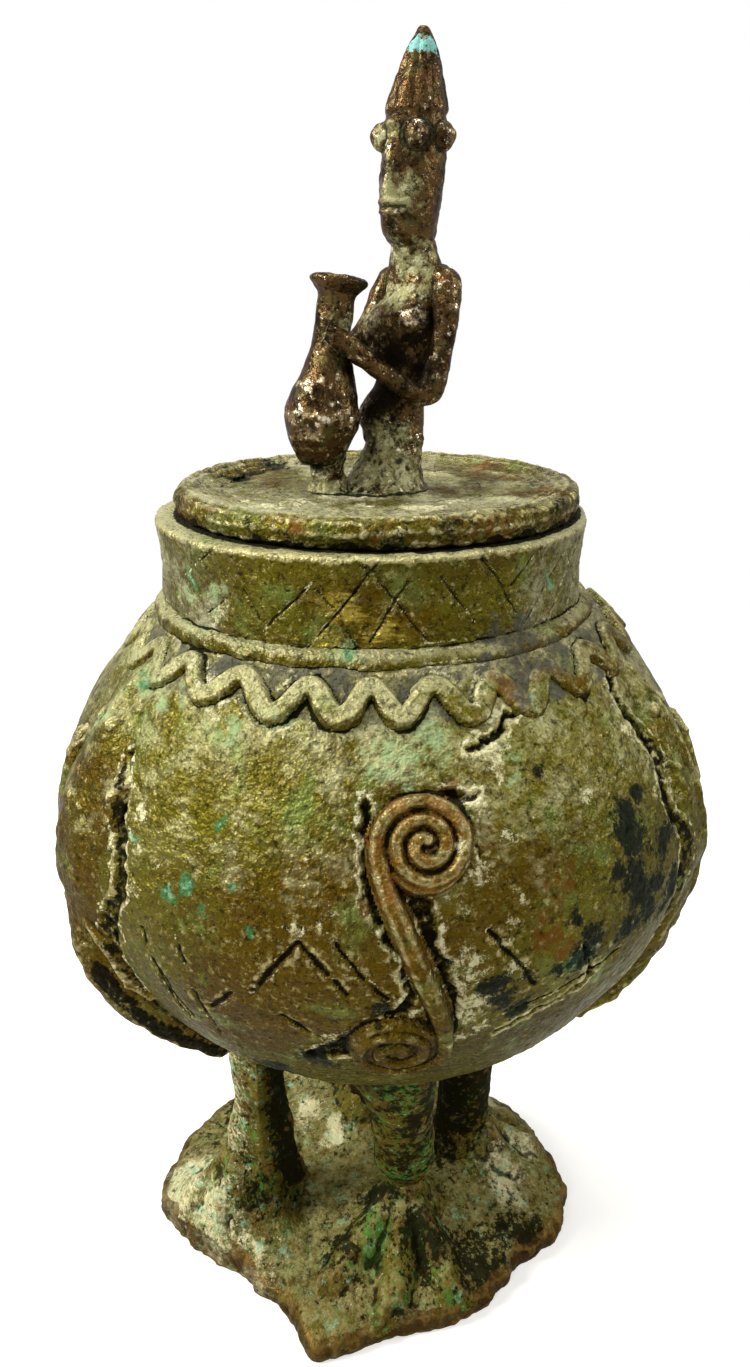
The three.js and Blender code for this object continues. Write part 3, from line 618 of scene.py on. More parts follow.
def scrollLine():
    s = scrollForm
    t = np.linspace(0, 1, 260)
    turn = math.pi - 2 * math.pi * s["upperTurns"] * (1 - t)
    reach = s["eye"] + (s["upperRadius"] - s["eye"]) * t
    upper = np.stack([reach * np.cos(turn), reach * np.sin(turn)], axis=1)
    ends = np.array([
        (-s["upperRadius"], 0),
        (-s["upperRadius"], -s["upperPull"]),
        (s["shift"] + s["lowerRadius"], s["lowerPull"] - s["drop"]),
        (s["shift"] + s["lowerRadius"], -s["drop"]),
    ])
    v = np.linspace(0, 1, 180)[:, None]
    weights = ((1 - v) ** 3, 3 * v * (1 - v) ** 2, 3 * v ** 2 * (1 - v), v ** 3)
    stem = sum(weight * end for weight, end in zip(weights, ends))
    turn = -2 * math.pi * s["lowerTurns"] * t
    reach = s["lowerRadius"] + (s["eye"] - s["lowerRadius"]) * t
    lower = np.stack([s["shift"] + reach * np.cos(turn), -s["drop"] + reach * np.sin(turn)], axis=1)
    width = np.concatenate([
        np.full(len(t), s["halfWidth"]),
        s["halfWidth"] + (s["stemWidth"] - s["halfWidth"]) * np.sin(math.pi * v[:, 0]) ** 0.6,
        np.full(len(t), s["halfWidth"]),
    ])
    places = np.vstack([upper, stem, lower])
    return np.column_stack([places, width, np.full(len(places), s["height"])])


def buildScrolls():
    s = scrollForm
    line = scrollLine()
    grid = drawingGrid(line[:, :2], s["stemWidth"] + s["margin"], s["step"])
    flat = gridPoints(grid)
    height = strokeHeight(flat, line, s)
    for x, y, radius in ((0, 0, s["upperRadius"]), (s["shift"], -s["drop"], s["lowerRadius"])):
        away = reachOf(flat - (x, y, 0))
        height = softMax(height, s["discHeight"] - 2 * np.maximum(away - radius + 0.6, 0), 0.3)
    middle = coil["trough"] + coil["halfWidth"] + s["clear"] + s["halfWidth"] + s["upperRadius"]
    for node, one in scroll.items():
        worn = height * (1 + 0.14 * lumps(flat, 9, one["seed"])) + 0.2 * lumps(flat, 4, one["seed"] + 50)
        skin = raised(layOn(one["azimuth"], middle), grid, worn, s["sink"])
        marks = fadedMarks(s["marks"], smoothstep(*s["fade"], skin[0][:, 2]))
        addPiece(node, "vessel", "olive_bronze", skin, s["rough"], one["seed"], ["potGlobe"], **marks)


buildScrolls()
print("scrolls built")


# Lizards: a spine with stations from the tail's tip to the snout, and four bent limbs with toes
lizard = {
    "right_lizard": {"azimuth": 337, "relief": 0.7, "swing": -26, "rump": (12, 2.1), "tail": (7, 2.4), "brown": 0.3,
                     "seed": 41, "near": -1, "pull": 0.38, "flankReach": 0.62, "square": 2.8, "outlined": 0.3,
                     "tailReach": 55},
    "rear_lizard": {"azimuth": 97, "relief": 1.15, "swing": 26, "rump": (12, 3.6), "tail": (8, 3.4), "brown": 0.4,
                    "seed": 42, "square": 3.6, "flankRise": 0.5, "outlined": -1},
    "left_lizard": {"azimuth": 212, "relief": 1, "swing": 14, "rump": (15, 7), "tail": (14, 8.5), "brown": 0.95,
                    "seed": 43, "near": 1, "pull": 0.75, "foreRelief": 0.35, "flankReach": 0.86,
                    "flankShadow": (-66, -28)},
}
lizardForm = {
    "tailReach": 68,
    "tailMiddle": 44,
    "rumpReach": 24,
    "clear": 1.5,  # from the coil's foot to the snout
    "spine": [  # along, width and height
        (-13, 18, 2.9), (0, 23, 3.2), (13, 19, 3), (21, 13, 2.6), (29, 16, 3), (44, 5, 1.8),
    ],
    "flank": [  # the low ground that joins the limbs to the body
        (-30, 16, 1), (-18, 29, 1.7), (4, 30, 2), (22, 27, 1.9), (36, 20, 1.4), (45, 8, 0.8),
    ],
    "forelimb": [(6, 12), (16, 8), (17, 19)],  # sideways from the spine and along it
    "hindlimb": [(6, -15), (16, -20), (16, -32)],
    "limbWidth": 5,
    "limbHeight": 2.6,
    "toeLength": 6,
    "toeSpread": 38,
    "toeWidth": 2.3,
    "toeHeight": 2.6,
    "foldPitch": 9,  # shallow folds across the back
    "foldDepth": 0.5,
    "square": 2.2,  # how full the back's section is
    "limbSquare": 2,
    "edgeSlope": 0.8,
    "blend": 0.7,
    "ridge": (1.5, 0.9),  # half width and rise of the line along the back
    "outline": (0.9, 0.8),  # half width and depth of the line pressed in round the body
    "brownTop": (176, 194),  # heights between which the brown fades
    "flankShadowSide": 0.62,  # a painted black shadow along the tail's flank: how far from its ridge and how wide
    "flankShadowWidth": 3,
    "crackRagged": [(6, 0.3), (2, 0.3)],
    "eyeSide": 4,
    "eyeAlong": 34,
    "eyeRadius": 2,
    "eyeRise": 1.2,
    "margin": 2.5,
    "step": 0.45,
    "sink": 0.7,
    "rough": [(9, 0.4), (4, 0.25), (2.2, 0.14), (1.2, 0.08)],
}


def lizardStrokes(one):
    f = lizardForm
    width, height = one["tail"]
    reach = one.get("tailReach", f["tailReach"])
    tail = [(-reach, width / 3, height / 2), (-f["tailMiddle"], width, height), (-f["rumpReach"], *one["rump"])]
    body = [(along, width, height * one["relief"]) for along, width, height in f["spine"]]
    spine = curveThrough(tail + body, 420)
    sway = lambda w: np.where(w < 0, one["swing"] * (w / f["tailReach"]) ** 2, 0)
    flank = curveThrough(f["flank"], 260) * (1, one.get("flankReach", 1), one.get("flankRise", 1))
    strokes = [
        np.column_stack([sway(line[:, 0]), line[:, 0], line[:, 1] / 2, line[:, 2]]) for line in (spine, flank)
    ]
    for limb in ("forelimb", "hindlimb"):
        for side in (-1, 1):
            aside = sway(np.array(f[limb][1][1]))
            pull = one["pull"] if side == one.get("near") else 1
            route = curveThrough([(side * pull * across + aside, along) for across, along in f[limb]], 90)
            count = len(route)
            relief = one["relief"] * (one.get("foreRelief", 1) if limb == "forelimb" else 1)
            strokes.append(np.column_stack([
                route, np.full(count, f["limbWidth"] / 2), np.full(count, f["limbHeight"] * relief)]))
            ahead = math.degrees(math.atan2(*(route[-1] - route[-10])[::-1]))
            for toe in (-1, 0, 1):
                tip = route[-1] + polar(ahead + toe * f["toeSpread"], f["toeLength"])[:2]
                path = polyline([route[-1], tip], 0.25)
                taper = np.linspace(1, 0.55, len(path))
                strokes.append(np.column_stack([path, taper * f["toeWidth"] / 2, taper * f["toeHeight"] * relief]))
    return strokes


crackRows = np.vstack([polyline([(a, downTo(z), half) for a, z, half in line], 0.12) for line in pot["cracks"]])
crackPlaces = onPot(crackRows[:, 0], crackRows[:, 1])


def lizardHeight(one, flat, spine, flank, limbs):
    f = lizardForm
    u, w = flat[:, 0], flat[:, 1]
    height = strokeHeight(flat, spine, {**f, **one})
    fold = np.abs(np.sin(math.pi * w / f["foldPitch"] + 1.5 * lumps(flat, 14, one["seed"]))) - 0.6
    height = height + fold * f["foldDepth"] * smoothstep(0.6, 2.2, height)
    for side in (-1, 1):
        away = reachOf(flat - (side * f["eyeSide"], f["eyeAlong"], 0)) / f["eyeRadius"]
        height = height + f["eyeRise"] * np.sqrt(np.clip(1 - away ** 2, 0, 1))
    height = softMax(height, strokeHeight(flat, flank, f, "limbSquare"), f["blend"])
    if "outlined" in one:
        away, index = nearest(flat, flatPoints(*spine[:, :2].T), 20)
        half = spine[index, 2]
        turned = smoothstep(one["outlined"] - 0.3, one["outlined"], (u - spine[index, 0]) / half)
        width, rise = f["ridge"]
        height = height + rise * bell(away / width) * smoothstep(1, 2.5, height)
        width, depth = f["outline"]
        height = height - depth * turned * bell((away - half) / width)
    for limb in limbs:
        height = softMax(height, strokeHeight(flat, limb, f, "limbSquare"), f["blend"])
    return height


def lizardMarks(one, points, place, spine):
    f = lizardForm
    amber = np.clip(one["brown"] * (1 + 0.6 * lumps(points, 16, one["seed"])), 0, 1)
    amber = amber * (1 - smoothstep(*f["brownTop"], points[:, 2]))
    # black where the globe's cracks run under it: corrosion and painted shade
    away, index = nearest(points, crackPlaces, 8)
    half = crackRows[index, 2] * (1 + layered(points, f["crackRagged"], 48))
    crack = 1 - smoothstep(*pot["crackEdge"], away / half)
    edge = bell((away - half - 0.6) / 0.8)
    # a painted black shadow along the tail's flank, between these places along the spine
    if "flankShadow" in one:
        low, high = one["flankShadow"]
        tail = spine[(spine[:, 1] > low) & (spine[:, 1] < high)]
        aside = tail[:, 0] + one["near"] * tail[:, 2] * f["flankShadowSide"]
        away, _ = nearest(points, place(aside, tail[:, 1], tail[:, 3] * f["flankShadowSide"]), 8)
        half = f["flankShadowWidth"] * (1 + layered(points, f["crackRagged"], 47))
        crack = np.maximum(crack, 1.25 * (1 - smoothstep(0.6, 1.2, away / half)))
    crack = crack * (0.66 + layered(points, pot["crackGrains"], 49))
    return {"amber": amber, "crack": crack, "edge": edge}


def buildLizards():
    f = lizardForm
    middle = coil["trough"] + coil["halfWidth"] + f["clear"] + f["spine"][-1][0]
    for node, one in lizard.items():
        spine, flank, *limbs = strokes = lizardStrokes(one)
        every = np.vstack(strokes)
        edges = np.vstack([every[:, :2] - every[:, 2:3], every[:, :2] + every[:, 2:3]])
        grid = drawingGrid(edges, f["margin"], f["step"])
        height = lizardHeight(one, gridPoints(grid), spine, flank, limbs)
        place = layOn(one["azimuth"], middle)
        skin = raised(place, grid, height, f["sink"])
        marks = lizardMarks(one, skin[0], place, spine)
        addPiece(node, "vessel", "olive_bronze", skin, f["rough"], one["seed"], **marks)


buildLizards()
print("lizards built")


stains = {  # azimuth, height and radius of spots seen on the globe and the neck
    "mint": [
        (-116.3, 178.6, 2.6), (-120.7, 163.5, 2.8), (-116.2, 162, 1.8), (-105.5, 169.7, 1.6),
        (-110, 167.5, 1.8), (-108, 155.8, 2), (-131.5, 171, 2), (-131.5, 164, 2), (-60, 147, 3),
        (-147, 218, 3), (-142, 224, 2.2), (-41, 222, 2.6), (-97, 209.5, 2.6), (-91, 209, 2), (-136, 214, 2),
        (-146, 199, 3.5),
    ],
    "film": [
        (-144.4, 198.6, 9), (-135.5, 196, 7), (-87, 193, 10), (-79, 197, 7), (-57, 201, 4), (-150, 188, 7),
        (-98, 209.5, 6), (-118, 195, 5), (-108, 197, 4), (-66, 190, 5), (-145, 217, 8), (-133, 221, 7),
        (-57, 146, 6), (-52, 138, 6), (-122, 116, 5),
    ],
    "cream": [
        (-69.9, 193, 5), (-73.5, 184.7, 5), (-67.7, 178.1, 3), (-76, 172, 4), (-79.7, 166, 4), (-77.6, 152, 6),
        (-75.3, 141.4, 7), (-77.2, 131, 5), (-54, 181, 3), (-50, 179, 3), (-101, 161.5, 3), (-97, 163.5, 3),
        (-71, 163, 3), (-70, 150, 4), (-125, 168, 2), (-86, 150, 3), (-72, 157, 3), (-134, 205, 6),
        (-128, 203, 5), (-80, 176, 4), (-119, 199, 4), (-132, 216, 5), (-36, 193, 2.5), (-37, 187, 2.5),
        (-35, 181, 2.5), (-35.5, 174, 2.5), (-81, 139, 3), (-79, 146, 4), (-74, 134, 5), (-131, 176, 3),
        (-130.5, 168, 3), (-129.5, 160, 3),
    ],
    "soot": [
        (-61.5, 187.9, 3), (-50, 182.8, 1.6), (-46.8, 180.6, 2), (-42, 175.4, 4), (-45, 167, 6), (-46, 158, 7),
        (-49, 149.3, 6), (-58, 152, 4), (-57, 146, 4), (-72.1, 145.5, 5), (-89.6, 141.6, 3), (-95.7, 128, 7),
        (-36, 150, 6), (-38, 165, 5), (-68, 136, 4), (-112, 106, 8), (-100, 120, 6), (-60, 158, 3),
        (-58.5, 149, 5), (-63, 146, 3), (-43, 183, 3), (-47, 172, 6), (-41, 158, 5), (-50, 161, 4),
        (-44, 151, 6), (-71, 141, 4), (-69, 147, 3), (-75, 147, 3),
    ],
    "rust": [
        (-63.3, 163.9, 5), (-64.8, 157, 5), (-71, 146, 4), (-91.8, 177, 4), (-78, 186, 4), (-40, 214, 4),
        (-61.5, 169, 4), (-66, 160, 4), (-63, 152, 5), (-82, 183, 5), (-88, 172, 4), (-91, 165, 3),
        (-64, 203, 4), (-57, 204, 4),
    ],
    "amber": [
        (-104, 150, 24), (-88, 150, 20), (-98, 166, 13), (-93, 219, 10), (-84, 218, 9), (-72, 170, 12),
        (-84, 171, 7), (-112, 130, 18),
    ],
    "gold": [(-99, 221, 5), (-91, 217, 5), (-85, 213, 4), (-102, 214, 4)],
    "slate": [
        (-64, 207, 5), (-57, 208, 6), (-50, 207, 6), (-45, 206, 5), (-52, 212, 5), (-61, 213, 5), (-60, 202, 5),
    ],
}
stainBend = [(10, 4), (3.5, 1.5)]  # how the spots' outlines wander
stainReach = 2.6  # in radii, past which a spot counts for nothing
stainsBehind = {"count": 60, "seed": 8, "from": -20, "to": 200, "low": 95, "high": 226, "radii": (2, 7)}


def addStainsBehind():
    # the sides that weren't seen carry spots of the same kinds
    rng = np.random.default_rng(stainsBehind["seed"])
    kinds = ["mint", "film", "cream", "soot", "rust", "amber"]
    for i in range(stainsBehind["count"]):
        spot = rng.uniform((stainsBehind["from"], stainsBehind["low"]), (stainsBehind["to"], stainsBehind["high"]))
        stains[kinds[i % len(kinds)]].append((*spot, rng.uniform(*stainsBehind["radii"])))


def stainMarks(points):
    marks = {}
    points = wandering(points, stainBend, 201)
    for kind, spots in stains.items():
        value = np.zeros(len(points))
        for azimuth, z, radius in spots:
            onGlobe = np.interp(z, meridian[::-1, 1], meridian[::-1, 0])
            middle = polar(azimuth, onGlobe if z < pot["shoulder"] else neck["footRadius"], z)
            near = np.abs(points - middle).max(axis=1) < stainReach * radius
            away = np.linalg.norm(points[near] - middle, axis=1)
            value[near] = np.maximum(value[near], bell(away / radius))
        marks[kind] = value
    return marks


addStainsBehind()


def spotsOn(points, spots):
    # strength of round spots given by x, y and radius
    places = wandering(points, stainBend, 201)
    value = np.zeros(len(points))
    for x, y, radius in spots:
        value = np.maximum(value, bell(np.hypot(places[:, 0] - x, places[:, 1] - y) / radius))
    return value


# Incised lines on a surface: points along them in space, and the depth of the cut at each vertex
def cutDepths(points, lines, width):
    distance, _ = nearest(points, np.vstack(lines), 4 * width)
    return bell(distance / width)


def padded(values, count):
    # marks of a piece's first vertices, with none on the rest
    return np.concatenate([values, np.zeros(count - len(values))])


def globeColumns():
    front = pot["frontAzimuth"]
    start, end, more = pot["closeColumns"]
    near = lambda azimuth: 1 + more * (1 - smoothstep(start, end, np.abs(azimuth - front)))
    return unevenSteps(near, front - 180, front + 180, pot["columns"] + 1)[:-1]


def strayed(points, azimuth, down, layers, seeds):
    # the same places on the globe, moved about so that lines drawn there wander
    aside, below = (layered(points, layers, seed) for seed in seeds)
    return onPot(azimuth + np.degrees(aside / reachOf(points)), down + below)


def globePocket(points, azimuth, down):
    # dark ground between the coil's waves, patchier behind the front
    above = coilDown(azimuth) - down
    below = 0.8 * smoothstep(*pot["pocketEdge"], -above) * (down < coil["trough"] + 1)
    pocket = np.maximum(smoothstep(*pot["pocketEdge"], above), below)
    behind = smoothstep(*pot["pocketBehind"], np.abs(azimuth - pot["frontAzimuth"]))
    return pocket * (0.75 - 0.35 * behind + (0.5 + 0.4 * behind) * lumps(points, 11, 67))


def buildGlobe():
    columns = globeColumns()
    far, close, sparse = pot["closeRows"]
    steps = unevenSteps(lambda d: np.where(d < far, close, sparse), 0, meridianDown[-1] - 1, pot["rows"])[::-1]
    azimuth, down = (grid.reshape(-1) for grid in np.meshgrid(columns, steps))
    outer = onPot(azimuth, down)
    ornament = [p for p in pieces if "Lizard" not in p["obj"].name]
    distance, _ = nearest(outer, np.vstack([p["points"] for p in ornament]), 6)
    lines = [onPot(*polyline([(a, downTo(z)) for a, z in cut], 0.1).T) for cut in pot["cuts"]]
    cut = cutDepths(strayed(outer, azimuth, down, pot["cutWander"], (301, 311)), lines, pot["cutWidth"])
    cut = cut * smoothstep(-0.9, 0.1, layered(outer, pot["cutGaps"], 61))
    # black in the cracks: corrosion and painted shade
    away, index = nearest(strayed(outer, azimuth, down, pot["crackWander"], (351, 361)), crackPlaces, 8)
    half = np.maximum(crackRows[index, 2] * (1 + 0.5 * lumps(outer, 5, 63)), 0.2)
    crack = (1 - smoothstep(*pot["crackEdge"], away / half)) * (0.7 + layered(outer, pot["crackGrains"], 68))
    edge = bell(away - half - 0.8)
    depth = pot["cutDepth"] * cut + pot["channelDepth"] * bell(distance / pot["channelWidth"])
    depth += pot["crackDepth"] * (1 - smoothstep(0.4, 1.2, away / half)) * (0.8 + 0.5 * lumps(outer, 1.8, 64))
    seen = stainMarks(outer)
    eaten = np.maximum(np.maximum(seen["cream"], seen["soot"]), seen["rust"])
    depth += eaten * layered(outer, pot["eaten"], 66)
    drop, width = pot["drip"]
    drip = bell((down - coil["trough"] - drop) / width) * smoothstep(-0.3, 0.5, lumps(outer, 15, 65))
    inner = potCurve(-pot["wall"], pot["bore"], 30, 20)[::-1]
    inner[-1, 0] = 1
    skin = tube(np.concatenate([outer.reshape(len(steps), -1, 3), turnedRings(inner, columns)]))
    count = len(skin[0])
    pocket = globePocket(outer, azimuth, down)
    marks = {"cut": cut, "crack": crack, "edge": edge, "slate": pocket, "film": 0.8 * drip}
    marks = {key: padded(value, count) for key, value in marks.items()}
    meets = [p["obj"].name for p in ornament] + ["neckRoll"]
    addPiece("pot_globe", "vessel", "olive_bronze", skin, pot["pits"], 71, meets, **marks)
    carve(padded(depth, count))


buildGlobe()
print("globe built")


def roundedProfile(corners, step, rounds):
    # a closed profile through corners, with points `step` apart, smoothed a few rounds
    line = polyline([*corners, corners[0]], step)
    keep = np.concatenate([[True], np.linalg.norm(np.diff(line, axis=0), axis=1) > 1e-6])
    profile = line[keep][:-1]
    for _ in range(rounds):
        profile = (np.roll(profile, 1, axis=0) + 2 * profile + np.roll(profile, -1, axis=0)) / 4
    return profile


def latticeLines():
    n = neck
    lines = list(n["lattice"])
    rng = np.random.default_rng(n["latticeSeed"])
    for lean in (-1, 1):
        for start in np.arange(n["latticeFrom"], n["latticeTo"], n["latticePitch"]):
            top = (start + rng.uniform(*n["stray"]), n["lip"] - rng.uniform(*n["fromLip"]))
            shift = lean * n["latticeLean"] * rng.uniform(*n["leans"])
            foot = (top[0] + shift, n["foot"] + rng.uniform(*n["fromFoot"]))
            lines.append([top, foot])
    strokes = [polyline(line, 0.1) for line in lines]
    return [polar(stroke[:, 0], n["footRadius"], stroke[:, 1]) for stroke in strokes]


def buildNeck():
    n = neck
    middle = (n["foot"] + n["lip"]) / 2
    profile = roundedProfile([
        (n["bore"], n["foot"] - 1), (n["footRadius"], n["foot"] - 1), (n["waistRadius"], middle),
        (n["lipRadius"] - 0.4, n["lip"] - n["rounding"]), (n["lipRadius"], n["lip"] - 0.6),
        (n["lipRadius"] - n["rounding"], n["lip"] + 0.15), (n["bore"], n["lip"]),
    ], n["rowStep"], 3)
    outside = smoothstep(n["bore"] + 1.5, n["bore"] + 4, profile[:, :1])
    points, faces = tube(wavyRings(profile, n, 81, outside, outside), closed=True)
    reach = reachOf(points)
    aside, above = (n["cutWander"] * layered(points, pot["cutWander"], seed) for seed in (401, 411))
    turn = np.degrees(np.arctan2(points[:, 1], points[:, 0]) + aside / n["footRadius"])
    cut = cutDepths(polar(turn, n["footRadius"], points[:, 2] + above), latticeLines(), n["cutWidth"])
    cut = cut * smoothstep(-0.9, 0, layered(points, n["cutGaps"], 83))
    cut = cut * smoothstep(n["bore"] + 3, n["bore"] + 5, reach)
    # a painted shadow in the gap under the lid
    slit = 1 - smoothstep(n["slit"] - 0.4, n["slit"] + 0.4, reach + 0.6 * lumps(points, 6, 85))
    slit = (points[:, 2] > n["lip"] - 0.8) * slit
    away = np.abs(wrapped(turn - pot["frontAzimuth"]))
    ash = n["ash"] * smoothstep(*n["ashFrom"], away) * (1 + 0.5 * lumps(points, 12, 86))
    marks = {"cut": n["cutShade"] * cut, "crack": slit, "ash": ash}
    addPiece("pot_neck", "vessel", "olive_bronze", (points, faces), n["rough"], 84, ["neckRoll"], **marks)
    carve(cut * n["cutDepth"])


def buildRoll():
    inner = neck["footRadius"] - roll["seat"]
    angle = np.linspace(*(share * math.pi for share in roll["arc"]), 26)
    width = roll["width"] + neck["footRadius"] - inner
    arc = np.stack([inner + width * np.cos(angle), neck["foot"] + roll["height"] * np.sin(angle)], axis=1)
    profile = np.vstack([arc, [(inner, neck["foot"] + 1), (inner, neck["foot"] - 2)]])
    skin = tube(wavyRings(profile, roll, 91, 1, roll["outOfRound"]), closed=True)
    meets = ["potGlobe", "potNeck"]
    addPiece("neck_roll", "vessel", "olive_bronze", skin, roll["rough"], 92, meets, **coilMarks(skin[0]))


buildNeck()
buildRoll()
print("neck built")


# Foot plate with a ragged edge, draped up towards the legs
plate = {
    "outline": [  # azimuth and reach
        (35, 60), (88, 58), (140, 67), (182, 70), (217, 51.5), (236, 49.5), (254, 59), (284, 48.5), (303, 51.5),
        (328, 51.5), (354, 62),
    ],
    "edge": 8,
    "dome": 4,
    "rounding": 1.8,  # how far the top falls to the edge, and the share of the reach where that starts
    "roundFrom": 0.84,
    "bulge": 0.9,  # of its side
    "topInset": 1.2,
    "swells": [(-28, 46, 15, 6), (22, 46, 14, 5)],  # x, y, reach and rise of the thick places at the back
    "pale": [  # x, y and radius of spots with more lime crust and painted light
        (-61, 1, 11), (-62, -11, 10), (-50, -21, 10), (-38, -33, 8), (-24, 24, 7), (-14, 14, 5),
        (42, -4, 9), (49, 10, 7), (12, 44, 12), (-22, 46, 10), (36, 34, 11),
    ],
    # x, y and radius of spots of dark crust and painted shadow
    "dark": [
        (-36, -7, 9), (31, -33, 11), (46, -23, 10), (15, -31, 9), (0, -18, 6), (-10, -30, 6), (20, 10, 12),
        (-45, 30, 9),
    ],
    "columns": 540,
    "underRows": 10,
    "sideRows": 14,
    "topRows": 90,
    "ragged": [(11, 1.5), (4.5, 0.8), (2, 0.3)],
    "chipped": [(8, 0.8), (3, 0.4)],
    "lumps": [(15, 0.9), (6, 0.45)],
    "rough": [(3, 0.22), (1.5, 0.12)],
}
# a leg's dark is how much of it is painted black as dark crust and painted shade; pale is painted light on its
# outer side
legs = {  # the drape is how high the plate's top rises towards the leg, and its reach outward, inward and aside
    "front": {"hip": (279, 35), "ankle": (302, 17), "toeAzimuth": 262, "toeLength": 33, "drape": (6, 17, 17, 17),
              "moss": 0.9, "dark": 0.45, "seed": 101},
    "right": {"hip": (18, 33), "ankle": (20, 30), "toeAzimuth": 8, "toeLength": 23, "drape": (10, 18, 12, 16),
              "moss": 0.2, "dark": 0.75, "seed": 102},
    "back": {"hip": (99, 35), "ankle": (96, 27), "toeAzimuth": 90, "toeLength": 26, "drape": (9, 22, 14, 24),
             "moss": 0.4, "dark": 0.3, "seed": 103},
    "left": {"hip": (193, 37), "ankle": (194, 37), "toeAzimuth": 184, "toeLength": 22, "drape": (20, 22, 8, 14),
             "moss": 0.7, "pale": 0.5, "dark": 0.1, "seed": 104},
}
plateCorners = np.array([polar(azimuth, reach)[:2] for azimuth, reach in plate["outline"]])
plateLine = curveThrough(plateCorners, 720, closed=True)
plateAngle = azimuthOf(plateLine)
plateOrder = np.argsort(plateAngle)


def plateReach(azimuth):
    angle, reach = plateAngle[plateOrder], np.linalg.norm(plateLine, axis=1)[plateOrder]
    return np.interp(wrapped(azimuth), angle, reach, period=360)


def plateTop(x, y):
    # height of the plate's upper face
    flat = flatPoints(x, y)
    share = reachOf(flat) / plateReach(azimuthOf(flat))
    z = plate["edge"] + plate["dome"] * (1 - np.clip(share, 0, 1) ** 2) + layered(flat, plate["lumps"], 111)
    z = z - plate["rounding"] * smoothstep(plate["roundFrom"], 1, share) ** 2
    for leg in legs.values():
        out = polar(leg["ankle"][0], 1)
        away = flat - polar(*leg["ankle"])
        along, aside = away @ out, away[:, 0] * out[1] - away[:, 1] * out[0]
        rise, outward, inward, sideways = leg["drape"]
        z = z + rise * np.exp(-(along / np.where(along > 0, outward, inward)) ** 2 - (aside / sideways) ** 2)
    for mx, my, reach, rise in plate["swells"]:
        z = z + rise * bell(np.hypot(x - mx, y - my) / reach)
    return z


def buildPlate():
    azimuths = fullCircle(plate["columns"])
    reach = plateReach(azimuths)
    reach = reach + layered(polar(azimuths, reach), plate["ragged"], 113)
    rings = [polar(azimuths, reach * share, 0.0) for share in np.linspace(0.02, 0.97, plate["underRows"])]
    edgeTop = plateTop(*(polar(azimuths, reach)[:, :2].T))
    for t in np.linspace(0.06, 0.94, plate["sideRows"]):
        bulge = plate["bulge"] * math.sin(math.pi * t) ** 0.5 - plate["bulge"]
        side = polar(azimuths, reach + bulge, edgeTop * t)
        rings.append(polar(azimuths, reach + bulge + layered(side, plate["chipped"], 117), edgeTop * t))
    for share in np.linspace(0.985, 0.02, plate["topRows"]):
        flat = polar(azimuths, (reach - plate["topInset"]) * share)
        flat[:, 2] = plateTop(flat[:, 0], flat[:, 1])
        rings.append(flat)
    points, faces = tube(np.array(rings))
    side = np.zeros(len(points))
    first = plate["underRows"]
    side[first * len(azimuths):(first + plate["sideRows"] + 1) * len(azimuths)] = 1
    # pale: lime crust and painted light; dark: dark crust and painted shadow
    pale = spotsOn(points, plate["pale"]) * (0.8 + 0.7 * lumps(points, 6, 118))
    marks = {"side": side, "pale": pale, "dark": spotsOn(points, plate["dark"])}
    addPiece("base_plate", "vessel", "crusted_bronze", (points, faces), plate["rough"], 115, **marks)
    moved = pieces[-1]["points"]
    moved[:, 2] = np.where(points[:, 2] < 0.01, points[:, 2], np.maximum(moved[:, 2], 0.05))
    setPoints(pieces[-1]["obj"].data, moved)


# Feet: three low ridged toes that run out of a heel and melt into the plate
foot = {
    "toeSpread": 34,
    "rootWidth": 15,
    "tipWidth": 10,
    "rootHeight": 8,
    "tipHeight": 3.4,
    "knuckle": 1.6,
    "knuckleAt": 0.5,
    "knuckleLength": 0.16,
    "heelRadius": 7.5,
    "heelHeight": 10,
    "heelSlope": (0.45, 1.5),  # in heel radii, where it falls and where it has sunk
    "heelEnd": (1.3, 1.8),
    "heelSink": 1.5,
    "square": 1.8,  # how full a toe's section is
    "edgeSlope": 0.6,
    "blend": 1.6,
    "margin": 5,
    "step": 0.45,
    "sink": 1.2,
    "rough": [(7, 0.6), (3, 0.35), (1.5, 0.15)],
}


def mossOn(points, leg):
    return leg["moss"] * (0.8 + lumps(points, 11, leg["seed"] + 20))


def buildFoot(name, leg):
    f = foot
    middle = polar(*leg["ankle"])[:2]
    tips = [middle + polar(leg["toeAzimuth"] + side * f["toeSpread"], leg["toeLength"])[:2] for side in (-1, 0, 1)]
    corners = np.vstack([tips, middle - f["heelRadius"], middle + f["heelRadius"]])
    grid = drawingGrid(corners, f["margin"], f["step"])
    flat = gridPoints(grid)
    away = reachOf(flat[:, :2] - middle) / f["heelRadius"]
    height = f["heelHeight"] * (1 - smoothstep(*f["heelSlope"], away))
    height = height - f["heelSink"] * smoothstep(*f["heelEnd"], away)
    for tip in tips:
        path = polyline([middle, tip], 0.3)
        t = np.linspace(0, 1, len(path))
        width = f["rootWidth"] + (f["tipWidth"] - f["rootWidth"]) * t
        rise = f["rootHeight"] + (f["tipHeight"] - f["rootHeight"]) * t
        rise = rise + f["knuckle"] * bell((t - f["knuckleAt"]) / f["knuckleLength"])
        height = softMax(height, strokeHeight(flat, np.column_stack([path, width / 2, rise]), f), f["blend"])
    edge = plateReach(azimuthOf(flat)) - reachOf(flat)
    height = np.minimum(height, edge * 1.5 - 1)
    place = lambda u, w, lift: np.stack([u, w, plateTop(u, w) + lift], axis=1)
    skin = raised(place, grid, height, f["sink"])
    # the plate's pale and dark spots run over the foot: crust with painted light and painted shadow
    marks = {"pale": 0.7 * spotsOn(skin[0], plate["pale"]), "dark": spotsOn(skin[0], plate["dark"])}
    marks["moss"] = mossOn(skin[0], leg)
    addPiece(name + "_foot", "vessel", "crusted_bronze", skin, f["rough"], leg["seed"], **marks)


